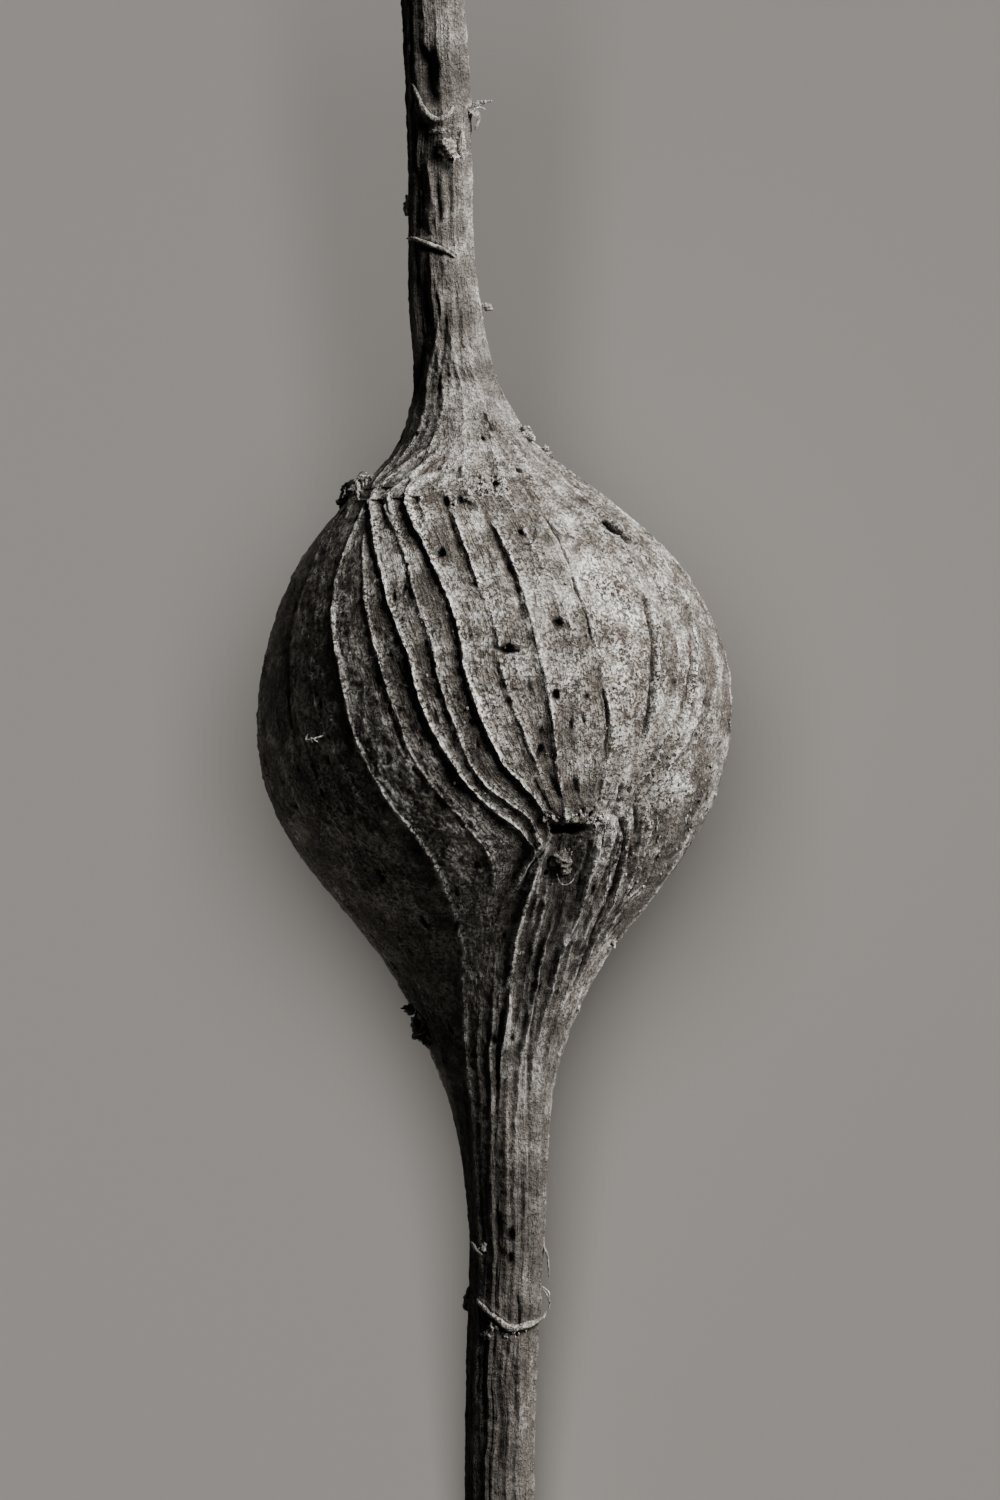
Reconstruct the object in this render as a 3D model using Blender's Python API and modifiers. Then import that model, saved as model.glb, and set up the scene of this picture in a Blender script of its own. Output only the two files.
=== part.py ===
"""A dry goldenrod stem with a round woody gall grown in its middle.

The piece is modelled upright first, with the stem along Z, the ball's middle at the origin and
the side that shows best towards -Y. A turned body is moved by formula: its columns follow the
ribs, which run the whole length and crowd together round the leaf scars. Small knobs are fused
on. Then the gall is laid on its back, where it rests on a flat spot under the ball and on the
lower cut end. Its length then runs along Y and the side that shows best looks up.
"""

import math

import bmesh
import bpy
import numpy as np
from mathutils import Matrix, Vector

MM = 0.001

# Sizes in millimetres and bearings in degrees. A height is measured along the stem from the
# middle of the ball, and a bearing round the stem from the side that shows best, to the right.
UPPER_END = 44.0
LOWER_END = -50.0
CUT_EDGE = 0.2          # rounding of the cut ends
FLAT_DEPTH = 0.24       # how far the resting spots are worn in

# The smooth body, as (height, radius).
BODY_OUTLINE = [
    (-50.0, 1.80), (-36.0, 1.84), (-26.0, 2.12), (-21.0, 2.75), (-16.0, 4.55), (-13.3, 6.10),
    (-10.6, 8.30), (-8.0, 10.30), (-5.3, 11.70), (-2.6, 12.40), (0.0, 12.50), (2.6, 12.10),
    (5.3, 11.10), (8.0, 9.40), (10.7, 6.80), (13.2, 3.90), (16.0, 2.45), (21.0, 1.85),
    (32.0, 1.64), (44.0, 1.60),
]
# The stem's middle line wanders to the right and towards the front, as (height, shift).
SIDE_DRIFT = [
    (-50.0, 0.30), (-36.0, 0.50), (-27.0, 0.78), (-18.0, 0.25), (-8.0, 0.00), (8.0, -0.25),
    (13.0, -1.20), (20.0, -2.40), (32.0, -2.85), (44.0, -3.60),
]
FRONT_DRIFT = [(-50.0, -0.60), (-20.0, 0.00), (16.0, 0.00), (44.0, 0.50)]

# Rows of the mesh, as (first height, last height, rows): close together where the form changes.
ROW_SPANS = [
    (-50.0, -35.0, 3), (-33.4, -31.5, 3), (-29.0, -24.0, 3), (-22.0, -12.4, 7),
    (-11.2, -4.1, 10), (-2.4, 7.8, 7), (9.0, 13.3, 5), (14.8, 19.5, 3), (23.0, 27.0, 2),
    (29.8, 34.0, 4), (38.5, 44.0, 2),
]
# Columns in each gap between two ribs, as shares of the gap: crest, flank, flat and furrow.
GAP_COLUMNS = [0.0, 0.2, 0.52, 0.84]

# The ribs of the front, left to right: the crest's rise and its path as (height, bearing).
FRONT_RIBS = [
    (0.20, [(16, -74), (12, -84), (9, -72), (2, -58.5), (-5, -48), (-9, -44), (-14, -50),
            (-26, -72)]),
    (0.14, [(16, -63), (12, -74), (6, -56.5), (0, -47.5), (-6, -34), (-9.5, -29.5), (-17, -35),
            (-26, -58)]),
    (0.28, [(16, -55), (12.5, -64), (9.5, -52), (6.5, -49.5), (1, -39), (-4.5, -29), (-7.3, -20),
            (-11, -14.5), (-20, -32), (-26, -45)]),
    (0.18, [(16, -48), (12.5, -59), (9.5, -47.5), (5.3, -36), (0.5, -26), (-4, -16.5), (-7, -4.5),
            (-8.2, -0.5), (-11, -1.5), (-20, -20), (-26, -33)]),
    (0.36, [(16, -40), (12.5, -54), (11.2, -55), (9.2, -43), (6.2, -31.5), (2.8, -22.5),
            (-2, -13.5), (-5.4, -1), (-6.7, 7), (-7.6, 10.8), (-10.5, 5), (-15, 0), (-20, -8),
            (-26, -21)]),
    (0.20, [(16, -30), (12.5, -43), (11, -45), (8.6, -31), (4, -18), (0, -11.5), (-4.4, -1.5),
            (-6.5, 11), (-7.4, 12.7), (-11, 7.6), (-20, -3), (-26, -16)]),
    (0.34, [(16, -19), (12.5, -32), (11, -33.5), (9, -24.5), (5.2, -12), (1, -6), (-3, 1.5),
            (-5.8, 13), (-7.2, 15.5), (-10, 11.5), (-17, 7), (-22, -4), (-26, -9.5)]),
    (0.20, [(16, -7), (11.5, -14), (8.2, -8.5), (4.4, -1), (-0.3, 4.2), (-3.6, 11), (-7.2, 17.2),
            (-11, 20), (-15, 17.5), (-22, 7), (-26, 3)]),
    (0.30, [(16, 4), (11.2, -5), (8.6, 3.5), (4, 9.3), (-1, 13.7), (-4.9, 17.2), (-8, 21),
            (-16, 24), (-23, 15), (-26, 12)]),
    (0.12, [(16, 14), (12, 11), (8, 13.5), (4.4, 18.7), (-2, 20.3), (-6.5, 23.5), (-13, 28),
            (-26, 21)]),
    (0.15, [(16, 25), (12, 21), (6, 23.4), (0.5, 26.8), (-1.5, 28.8), (-6, 27.6), (-11, 31.5),
            (-17, 35), (-26, 28)]),
    (0.12, [(16, 36), (12, 38), (7, 45), (1, 41.5), (-3, 37.5), (-5.8, 31), (-9.5, 34), (-15, 42),
            (-26, 38)]),
    (0.18, [(16, 48), (12, 50), (7, 54), (1, 49), (-4, 40), (-5.6, 34.5), (-8, 39.5), (-13, 48.5),
            (-20, 51), (-26, 49)]),
    (0.14, [(16, 60), (12, 62), (8, 66), (2, 59.5), (-2, 52.5), (-5.4, 38.5), (-9, 44.5),
            (-13, 54), (-20, 60), (-26, 60)]),
    (0.17, [(16, 73), (8, 79), (4, 75), (-2, 58), (-5.3, 43.5), (-8, 47), (-13, 61), (-18, 70),
            (-26, 73)]),
]
# The ribs of the back are spread by rule and drawn towards leaf scars at (bearing, height).
BACK_RIBS = 11
BACK_SCARS = [(158.0, 2.0), (-118.0, -7.0)]
BACK_CREST = (0.15, 0.30)
SCAR_PULL = 0.55
SCAR_REACH = (34.0, 5.5)        # degrees round the stem and millimetres along it
RIB_SEED = 7

# The ribs on the bare stem: every second one stands out.
STEM_CREST = (0.17, 0.04)
# The ball's own ribs fade out over these heights, below and above.
RIB_FADE_LOW = (-25.0, -15.0)
RIB_FADE_HIGH = (12.0, 18.0)

# One rib across, in millimetres: it falls slowly to the right and steeply into a furrow.
RIGHT_FLANK = 0.50
LEFT_FLANK = 0.24
FURROW_AWAY = 0.46
FURROW_HALF = 0.26
FURROW_DEPTH = 0.55             # as a share of the crest's rise

# Swellings and hollows, as (bearing, height, half width, half length, rise).
FORMS = {
    "scar lip": (21.0, -5.5, 1.9, 0.65, 0.42),
    "scar slot": (21.7, -6.75, 1.45, 0.42, -1.05),
    "bud hollow": (21.0, -8.4, 1.15, 1.45, -0.85),
    "scar corner left": (12.8, -7.6, 0.55, 0.70, 0.42),
    "scar corner right": (33.0, -6.3, 0.70, 0.70, 0.40),
    "furrow beside the scar": (42.0, -8.4, 0.55, 1.60, -0.40),
    "back scar lip": (158.0, 3.0, 1.9, 0.70, 0.42),
    "back scar slot": (158.0, 1.7, 1.30, 0.50, -0.90),
    "left scar lip": (-118.0, -6.0, 1.7, 0.70, 0.40),
    "left scar slot": (-118.0, -7.3, 1.20, 0.50, -0.85),
    "node rim above": (-8.0, 31.0, 1.50, 0.55, 0.26),
    "node hollow": (-12.0, 33.2, 0.45, 1.10, -0.36),
    "collar below": (30.0, -31.7, 2.60, 0.70, 0.24),
}
# Small knobs fused to the surface, as (bearing, height, out, across, along): half sizes.
KNOBS = {
    "left shoulder scar": (-82.0, 11.1, 1.35, 0.95, 0.60),
    "left shoulder tip": (-78.0, 11.7, 1.45, 0.40, 0.35),
    "right shoulder": (72.0, 14.0, 0.62, 0.42, 0.42),
    "lower left": (-76.0, -17.3, 0.75, 0.60, 0.85),
    "bud": (34.0, 29.3, 0.60, 0.60, 0.95),
    "left of the stem": (-85.0, 26.2, 0.48, 0.42, 0.55),
    "right stub": (86.0, 20.8, 0.78, 0.26, 0.30),
    "lower stub": (-40.0, -28.9, 0.42, 0.28, 0.36),
    "collar knob": (-84.0, -31.8, 0.46, 0.45, 0.80),
}
KNOB_SEGMENTS = 10
KNOB_RINGS = 6

# Where the ball rests its ribs are worn low, round this (bearing, height), over this reach.
REST_SPOT = (180.0, -2.8)
REST_REACH = 5.5
REST_WEAR = 0.85
LEAN_LIMITS = (5.0, 20.0)       # degrees between which the resting lean is looked for
BALL_HALF = 15.0                # heights within this belong to the ball
STEM_FOOT = -40.0               # heights below this belong to the lower end
SURFACE_BLOCK = (60.0, 160.0, 20.0)
SLIVER = 0.02

WOOD_COLOUR = (0.42, 0.37, 0.31, 1.0)
WOOD_ROUGHNESS = 0.88


def smooth_through(stations, at):
    """A smooth curve through (place, value) stations, level beyond both ends."""
    place, value = np.array(sorted(stations), dtype=float).T
    slope = np.gradient(value, place)
    at = np.clip(at, place[0], place[-1])
    cell = np.clip(np.searchsorted(place, at, side="right") - 1, 0, len(place) - 2)
    gap = place[cell + 1] - place[cell]
    t = (at - place[cell]) / gap
    start = value[cell] * (1 + 2 * t) * (1 - t) ** 2 + slope[cell] * gap * t * (1 - t) ** 2
    end = value[cell + 1] * (3 - 2 * t) * t ** 2 - slope[cell + 1] * gap * t ** 2 * (1 - t)
    return start + end


def rise_between(at, low, high):
    """Nought below low, one above high, and a smooth step between."""
    t = np.clip((at - low) / (high - low), 0.0, 1.0)
    return t * t * (3 - 2 * t)


def degrees_apart(bearing, other):
    """The way round from other to bearing, between -180 and 180 degrees."""
    return (bearing - other + 180.0) % 360.0 - 180.0


def rib_paths(height):
    """Bearing of every rib at each height, in order round the stem."""
    front = [smooth_through(path, height) for crest, path in FRONT_RIBS]
    draw = np.random.default_rng(RIB_SEED)
    uneven = draw.uniform(-0.22, 0.22, BACK_RIBS)
    sweep = draw.uniform(-0.12, 0.12, BACK_RIBS)
    span = front[0] + 360.0 - front[-1]
    back = []
    for number in range(BACK_RIBS):
        share = number + 1 + uneven[number] + sweep[number] * np.sin(height / 6.0)
        path = front[-1] + span * share / (BACK_RIBS + 1)
        for bearing, scar_height in BACK_SCARS:
            away = degrees_apart(path, bearing)
            near = np.exp(-(away / SCAR_REACH[0]) ** 2)
            level = np.exp(-((height - scar_height) / SCAR_REACH[1]) ** 2)
            path = path - SCAR_PULL * away * near * level
        back.append(path)
    return np.array(front + back)


def rib_crests(height):
    """How far every rib's crest stands out at each height."""
    draw = np.random.default_rng(RIB_SEED + 1)
    back = draw.uniform(*BACK_CREST, BACK_RIBS)
    on_ball = np.concatenate([[crest for crest, path in FRONT_RIBS], back])
    on_stem = np.resize(STEM_CREST, len(on_ball))
    ball = rise_between(height, *RIB_FADE_LOW) * (1 - rise_between(height, *RIB_FADE_HIGH))
    return on_ball[:, None] * ball + on_stem[:, None] * (1 - ball)


def rib_relief(share, gap, crest, next_crest):
    """Height of the surface between two ribs: the gap's share and its width in millimetres."""
    right_of = share * gap
    left_of = (1 - share) * gap
    flank = crest * np.exp(-(right_of / RIGHT_FLANK) ** 2)
    steep = next_crest * np.exp(-(left_of / LEFT_FLANK) ** 2)
    furrow = FURROW_DEPTH * next_crest * np.exp(-((left_of - FURROW_AWAY) / FURROW_HALF) ** 2)
    return flank + steep - furrow


def form_relief(bearing, height, radius):
    """The swellings and hollows at a place on the surface."""
    total = np.zeros_like(height)
    for middle, level, half_width, half_length, rise in FORMS.values():
        across = np.radians(degrees_apart(bearing, middle)) * radius / half_width
        along = (height - level) / half_length
        total += rise * np.exp(-(across ** 2 + along ** 2) ** 1.5)
    return total


def rest_wear(bearing, height, radius):
    """Share of the ribs that is left where the ball rests."""
    across = np.radians(degrees_apart(bearing, REST_SPOT[0])) * radius
    away = np.hypot(across, height - REST_SPOT[1])
    return 1 - REST_WEAR * np.exp(-(away / REST_REACH) ** 4)


def stem_point(bearing, height, out):
    """Where a point lies in metres: its bearing, its height and how far out it is."""
    angle = np.radians(bearing)
    side = smooth_through(SIDE_DRIFT, height) + out * np.sin(angle)
    front = smooth_through(FRONT_DRIFT, height) + out * np.cos(angle)
    return np.stack([side, -front, height], axis=-1) * MM


def surface_points(turn, height, inward):
    """Points of the ribbed surface: turn counts ribs round the stem, inward shrinks the caps."""
    paths = rib_paths(height)
    crests = rib_crests(height)
    count = len(paths)
    rib = np.floor(turn).astype(int) % count
    share = turn - np.floor(turn)
    spot = np.arange(len(height))
    here = paths[rib, spot]
    step = (paths[(rib + 1) % count, spot] - here) % 360.0
    bearing = here + step * share
    radius = smooth_through(BODY_OUTLINE, height)
    gap = np.radians(step) * radius
    relief = rib_relief(share, gap, crests[rib, spot], crests[(rib + 1) % count, spot])
    relief = relief * rest_wear(bearing, height, radius) + form_relief(bearing, height, radius)
    return stem_point(bearing, height, (radius + relief) * inward)


def body_rows():
    """Heights of the mesh rows, from the upper cut end down to the lower one."""
    spans = [np.linspace(first, last, rows) for first, last, rows in ROW_SPANS]
    return np.concatenate(spans)[::-1]


def turned_body(columns):
    """The plain turned body: a profile down the outer side, carried round by Screw."""
    rows = body_rows()
    radius = smooth_through(BODY_OUTLINE, rows)
    radius[[0, -1]] -= CUT_EDGE
    rows[1:-1] = np.clip(rows[1:-1], LOWER_END + CUT_EDGE, UPPER_END - CUT_EDGE)
    points = [(0.0, 0.0, UPPER_END * MM)]
    points += [(out * MM, 0.0, up * MM) for out, up in zip(radius, rows)]
    points += [(0.0, 0.0, LOWER_END * MM)]
    profile = bpy.data.meshes.new("stem_gall")
    profile.from_pydata(points, [(n, n + 1) for n in range(len(points) - 1)], [])
    body = bpy.data.objects.new("stem_gall", profile)
    screw = body.modifiers.new("turned", "SCREW")
    screw.steps = columns
    screw.render_steps = columns
    screw.use_merge_vertices = True
    screw.merge_threshold = 0.00001
    return body


def apply_modifiers(piece):
    """Give the object the mesh that its modifiers make, and drop them."""
    bpy.context.view_layer.update()
    graph = bpy.context.evaluated_depsgraph_get()
    plain = piece.data
    piece.data = bpy.data.meshes.new_from_object(piece.evaluated_get(graph))
    piece.modifiers.clear()
    piece.data.name = piece.name
    bpy.data.meshes.remove(plain)


def raise_ribs(body):
    """Move the turned body's points onto the ribbed surface."""
    spots = np.empty(len(body.data.vertices) * 3)
    body.data.vertices.foreach_get("co", spots)
    x, y, z = spots.reshape(-1, 3).T
    height = z / MM
    out = np.hypot(x, y) / MM
    count = len(FRONT_RIBS) + BACK_RIBS
    step = np.round(np.arctan2(y, x) / (2 * np.pi) * count * len(GAP_COLUMNS)).astype(int)
    turn = step // len(GAP_COLUMNS) + np.array(GAP_COLUMNS)[step % len(GAP_COLUMNS)]
    inward = out / smooth_through(BODY_OUTLINE, height)
    moved = surface_points(turn % count, height, inward)
    body.data.vertices.foreach_set("co", moved.ravel())
    body.data.update()


def make_knob(name, bearing, height, out, across, along):
    """A small egg-shaped knob, half sunk in the surface."""
    shape = bmesh.new()
    bmesh.ops.create_uvsphere(shape, u_segments=KNOB_SEGMENTS, v_segments=KNOB_RINGS, radius=1.0)
    middle = smooth_through(BODY_OUTLINE, np.array([height]))
    place = stem_point(np.array([bearing]), np.array([height]), middle)[0]
    size = Matrix.Diagonal(Vector((across, out, along, 1 / MM))) * MM
    turn = Matrix.Rotation(math.radians(bearing), 4, "Z")
    shape.transform(Matrix.Translation(place) @ turn @ size)
    mesh = bpy.data.meshes.new(name)
    shape.to_mesh(mesh)
    shape.free()
    return bpy.data.objects.new(name, mesh)


def fuse_knobs(body, helpers):
    """Join every knob to the body in one union, and drop the loose knobs."""
    knobs = bpy.data.collections.new("knobs")
    helpers.children.link(knobs)
    for name, sizes in KNOBS.items():
        knobs.objects.link(make_knob(name, *sizes))
    union = body.modifiers.new("knobs", "BOOLEAN")
    union.operation = "UNION"
    union.operand_type = "COLLECTION"
    union.collection = knobs
    union.solver = "EXACT"
    weld_slivers(body)
    apply_modifiers(body)
    for knob in list(knobs.objects):
        bpy.data.objects.remove(knob)
    bpy.data.collections.remove(knobs)


def tilted(spots, lean):
    """Points of the upright gall once it is laid down with its stem leaning by lean radians."""
    turn = np.array(Matrix.Rotation(lean - math.pi / 2, 3, "X"))
    return spots @ turn.T


def resting_lean(spots):
    """The lean at which the ball and the lower cut end touch the surface together."""
    height = spots[:, 2] / MM
    ball = spots[np.abs(height) < BALL_HALF]
    foot = spots[height < STEM_FOOT]
    low, high = np.radians(LEAN_LIMITS)
    for halving in range(40):
        middle = (low + high) / 2
        if tilted(foot, middle)[:, 2].min() > tilted(ball, middle)[:, 2].min():
            low = middle
        else:
            high = middle
    return (low + high) / 2


def lay_down(body, helpers):
    """Lay the gall on its back, centred over the origin, with its resting spots worn flat."""
    spots = np.empty(len(body.data.vertices) * 3)
    body.data.vertices.foreach_get("co", spots)
    spots = spots.reshape(-1, 3)
    lean = resting_lean(spots)
    laid = tilted(spots, lean)
    low = laid.min(axis=0)
    high = laid.max(axis=0)
    body.rotation_euler = (lean - math.pi / 2, 0.0, 0.0)
    middle = (low + high) / 2
    body.location = (-middle[0], -middle[1], -low[2] - FLAT_DEPTH * MM)
    wear = body.modifiers.new("resting spots", "BOOLEAN")
    wear.operation = "DIFFERENCE"
    wear.object = make_surface(helpers)
    wear.solver = "EXACT"
    weld_slivers(body)


def make_surface(helpers):
    """The cutter: a block whose top is the surface that the gall rests on."""
    size = Vector(SURFACE_BLOCK) * MM
    bpy.ops.mesh.primitive_cube_add(size=1.0, location=(0.0, 0.0, -size.z / 2))
    cutter = bpy.context.object
    cutter.name = "surface"
    cutter.scale = size
    bpy.ops.object.transform_apply(location=False, rotation=False, scale=True)
    cutter.hide_render = True
    cutter.display_type = "WIRE"
    for home in list(cutter.users_collection):
        home.objects.unlink(cutter)
    helpers.objects.link(cutter)
    return cutter


def weld_slivers(body):
    """Close the hair-thin slivers that a Boolean leaves."""
    weld = body.modifiers.new("slivers", "WELD")
    weld.merge_threshold = SLIVER * MM


def dry_wood():
    """Bleached, weathered stem."""
    material = bpy.data.materials.new("dry_stem")
    material.use_nodes = True
    shader = material.node_tree.nodes["Principled BSDF"]
    shader.inputs["Base Color"].default_value = WOOD_COLOUR
    shader.inputs["Roughness"].default_value = WOOD_ROUGHNESS
    shader.inputs["Metallic"].default_value = 0.0
    return material


def main():
    for old in list(bpy.data.objects):
        bpy.data.objects.remove(old)
    parts = bpy.data.collections.new("goldenrod_stem_gall")
    helpers = bpy.data.collections.new("cutters")
    for collection in (parts, helpers):
        bpy.context.scene.collection.children.link(collection)
    columns = (len(FRONT_RIBS) + BACK_RIBS) * len(GAP_COLUMNS)
    body = turned_body(columns)
    parts.objects.link(body)
    apply_modifiers(body)
    raise_ribs(body)
    fuse_knobs(body, helpers)
    body.data.shade_smooth()
    body.data.materials.clear()
    body.data.materials.append(dry_wood())
    lay_down(body, helpers)


main()
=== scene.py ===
import math

import bpy
import numpy as np
from mathutils import Matrix, Vector


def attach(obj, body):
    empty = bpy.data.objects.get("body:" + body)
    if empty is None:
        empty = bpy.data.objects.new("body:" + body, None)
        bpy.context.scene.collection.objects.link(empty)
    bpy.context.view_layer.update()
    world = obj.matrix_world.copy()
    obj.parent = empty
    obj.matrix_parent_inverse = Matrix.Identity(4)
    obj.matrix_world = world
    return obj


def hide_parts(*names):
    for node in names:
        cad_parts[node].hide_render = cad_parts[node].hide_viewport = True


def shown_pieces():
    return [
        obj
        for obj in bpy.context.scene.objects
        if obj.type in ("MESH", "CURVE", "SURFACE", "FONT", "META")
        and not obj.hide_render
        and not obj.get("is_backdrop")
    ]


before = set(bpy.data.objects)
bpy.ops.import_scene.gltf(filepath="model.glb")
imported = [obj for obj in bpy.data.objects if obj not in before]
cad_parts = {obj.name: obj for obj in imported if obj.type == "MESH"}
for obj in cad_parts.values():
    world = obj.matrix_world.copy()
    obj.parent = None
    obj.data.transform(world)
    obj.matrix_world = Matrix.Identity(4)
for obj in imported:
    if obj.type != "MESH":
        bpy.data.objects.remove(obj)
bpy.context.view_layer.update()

mm = 0.001

# The gall is worked out upright: millimetres, stem along Z, best side towards -Y. A height runs
# along the stem from the middle of the ball, and a bearing round it from the best side, to the
# right. layDown then turns it on its back, to where the frame has it.
laid = {
    "lean": 12.01776,                    # degrees the stem rises towards its upper end
    "place": (-0.11924, 2.94482, 12.4576),
}

galled = {
    "upperEnd": 44, "lowerEnd": -50,
    "outline": [                         # height, radius
        (-50, 1.8), (-36, 1.84), (-26, 2.12), (-21, 2.75), (-16, 4.55), (-13.3, 6.1),
        (-10.6, 8.3), (-8, 10.3), (-5.3, 11.7), (-2.6, 12.4), (0, 12.5), (2.6, 12.1),
        (5.3, 11.1), (8, 9.4), (10.7, 6.8), (13.2, 3.9), (16, 2.45), (21, 1.85),
        (32, 1.64), (44, 1.6)],
    "sideDrift": [                       # height, shift to the right
        (-50, 0.3), (-36, 0.5), (-27, 0.78), (-18, 0.25), (-8, 0), (8, -0.25),
        (13, -1.2), (20, -2.4), (32, -2.85), (44, -3.6)],
    "frontDrift": [(-50, -0.6), (-20, 0), (16, 0), (44, 0.5)],
    "restSpot": (180, -2.8), "restReach": 5.5, "restWear": 0.85, "restSquare": 4,
}

ribbing = {
    "front": [                           # crest, then height and bearing down the rib
        (0.04, [(16, -74), (12, -84), (9, -72), (2, -58.5), (-5, -48), (-9, -44), (-14, -50),
                (-26, -72)]),
        (0.03, [(16, -63), (12, -74), (6, -56.5), (0, -47.5), (-6, -34), (-9.5, -29.5),
                (-17, -35), (-26, -58)]),
        (0.15, [(16, -55), (12.5, -64), (9.5, -52), (6.5, -49.5), (1, -39), (-4.5, -29),
                (-7.3, -20), (-11, -14.5), (-20, -32), (-26, -45)]),
        (0.09, [(16, -48), (12.5, -59), (9.5, -47.5), (5.3, -36), (0.5, -26), (-4, -16.5),
                (-7, -4.5), (-8.2, -0.5), (-11, -1.5), (-20, -20), (-26, -33)]),
        (0.18, [(16, -40), (12.5, -54), (11.2, -55), (9.2, -43), (6.2, -31.5), (2.8, -22.5),
                (-2, -13.5), (-5.4, -1), (-6.7, 7), (-7.6, 10.8), (-10.5, 5), (-15, 0),
                (-20, -8), (-26, -21)]),
        (0.10, [(16, -30), (12.5, -43), (11, -45), (8.6, -31), (4, -18), (0, -11.5),
                (-4.4, -1.5), (-6.5, 11), (-7.4, 12.7), (-11, 7.6), (-20, -3), (-26, -16)]),
        (0.19, [(16, -19), (12.5, -32), (11, -33.5), (9, -24.5), (5.2, -12), (1, -6), (-3, 1.5),
                (-5.8, 13), (-7.2, 15.5), (-10, 11.5), (-17, 7), (-22, -4), (-26, -9.5)]),
        (0.08, [(16, -7), (11.5, -14), (8.2, -8.5), (4.4, -1), (-0.3, 4.2), (-3.6, 11),
                (-7.2, 17.2), (-11, 20), (-15, 17.5), (-22, 7), (-26, 3)]),
        (0.17, [(16, 4), (11.2, -5), (8.6, 3.5), (4, 9.3), (-1, 13.7), (-4.9, 17.2), (-8, 21),
                (-16, 24), (-23, 15), (-26, 12)]),
        (0.05, [(16, 14), (12, 11), (8, 13.5), (4.4, 18.7), (-2, 20.3), (-6.5, 23.5), (-13, 28),
                (-26, 21)]),
        (0.07, [(16, 25), (12, 21), (6, 23.4), (0.5, 26.8), (-1.5, 28.8), (-6, 27.6),
                (-11, 31.5), (-17, 35), (-26, 28)]),
        (0.06, [(16, 36), (12, 38), (7, 45), (1, 41.5), (-3, 37.5), (-5.8, 31), (-9.5, 34),
                (-15, 42), (-26, 38)]),
        (0.09, [(16, 48), (12, 50), (7, 54), (1, 49), (-4, 40), (-5.6, 34.5), (-8, 39.5),
                (-13, 48.5), (-20, 51), (-26, 49)]),
        (0.06, [(16, 60), (12, 62), (8, 66), (2, 59.5), (-2, 52.5), (-5.4, 38.5), (-9, 44.5),
                (-13, 54), (-20, 60), (-26, 60)]),
        (0.08, [(16, 73), (8, 79), (4, 75), (-2, 58), (-5.3, 43.5), (-8, 47), (-13, 61),
                (-18, 70), (-26, 73)]),
    ],
    "backCount": 11, "backScars": [(158, 2), (-118, -7)], "backCrest": (0.07, 0.17), "seed": 7,
    "backUneven": 0.22, "backSweep": 0.12, "sweepLength": 6, "pull": 0.55, "pullReach": (34, 5.5),
    "stemCrest": (0.1, 0.03), "fadeLow": (-25, -13), "fadeHigh": (9.2, 12.6),
    "flankHalf": 0.15, "rightPower": 1.6, "leftPower": 2, "pleat": 0.08, "pleatPower": 1.5,
    "furrowAway": 0.24, "furrowHalf": 0.14, "furrowFar": 0.55, "furrowDepth": 0.29,
    "furrowEnd": (5.5, 10.4),
    # a keel is a rib, a height, a half length and the extra rise
    "keels": [(6, -21, 5, 0.08), (13, -10, 3, 0.06), (10, -12.5, 3.5, 0.06)],
}
ribCount = len(ribbing["front"]) + ribbing["backCount"]


def smoothThrough(stations, at):
    # a cubic through each pair of stations, with the slope at a station taken from both sides
    place, value = np.array(sorted(stations), dtype=float).T
    slope = np.gradient(value, place)
    at = np.clip(at, place[0], place[-1])
    cell = np.clip(np.searchsorted(place, at, side="right") - 1, 0, len(place) - 2)
    gap = place[cell + 1] - place[cell]
    t = (at - place[cell]) / gap
    start = value[cell] * (1 + 2 * t) * (1 - t) ** 2 + slope[cell] * gap * t * (1 - t) ** 2
    end = value[cell + 1] * (3 - 2 * t) * t ** 2 - slope[cell + 1] * gap * t ** 2 * (1 - t)
    return start + end


def riseBetween(at, low, high):
    # nought below low, one above high, three t squared less two t cubed between
    t = np.clip((at - low) / (high - low), 0.0, 1.0)
    return t * t * (3 - 2 * t)


def alongLine(line, count):
    # each measure of a drawn line, smoothly through its spots in even steps
    fine = np.linspace(0, len(line) - 1, count)
    return [smoothThrough(enumerate(values), fine) for values in zip(*line)]


def degreesApart(bearing, other):
    # the turn from the other bearing, from -180 to 180
    return (bearing - other + 180.0) % 360.0 - 180.0


def cellValue(x, y, z, seed):
    # one steady random number from -1 to 1 for each whole-number cell, its bits well mixed
    mixed = x * 374761393 + y * 668265263 + z * 1274126177 + seed * 97531
    mixed = (mixed ^ (mixed >> 13)) & 0xFFFFFFFF
    mixed = (mixed * 1103515245 + 12345) & 0xFFFFFFFF
    mixed = (mixed ^ (mixed >> 15)) & 0xFFFFFF
    return mixed / 8388607.5 - 1.0


noiseGain = 1.6                          # brings the noise to about -1 to 1


def noiseAt(points, size, seed):
    # slopes drawn at the corners of a cell, blended with a smooth fifth-power step
    spots = points / size
    base = np.floor(spots).astype(np.int64)
    part = spots - base
    blend = part ** 3 * (part * (part * 6 - 15) + 10)
    total = np.zeros(points.shape[:-1])
    for corner in range(8):
        step = np.array([corner & 1, corner >> 1 & 1, corner >> 2 & 1])
        x, y, z = np.moveaxis(base + step, -1, 0)
        away = part - step
        slope = sum(cellValue(x, y, z, seed * 3 + axis) * away[..., axis] for axis in range(3))
        weight = np.prod(np.where(step == 1, blend, 1 - blend), axis=-1)
        total += slope * weight
    return total * noiseGain


def roughAt(points, size, seed, octaves=3, keep=0.5):
    # noise summed over halving sizes, each octave keep times as strong
    total = 0.0
    for octave in range(octaves):
        total = total + noiseAt(points, size / 2 ** octave, seed + 11 * octave) * keep ** octave
    return total


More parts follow.
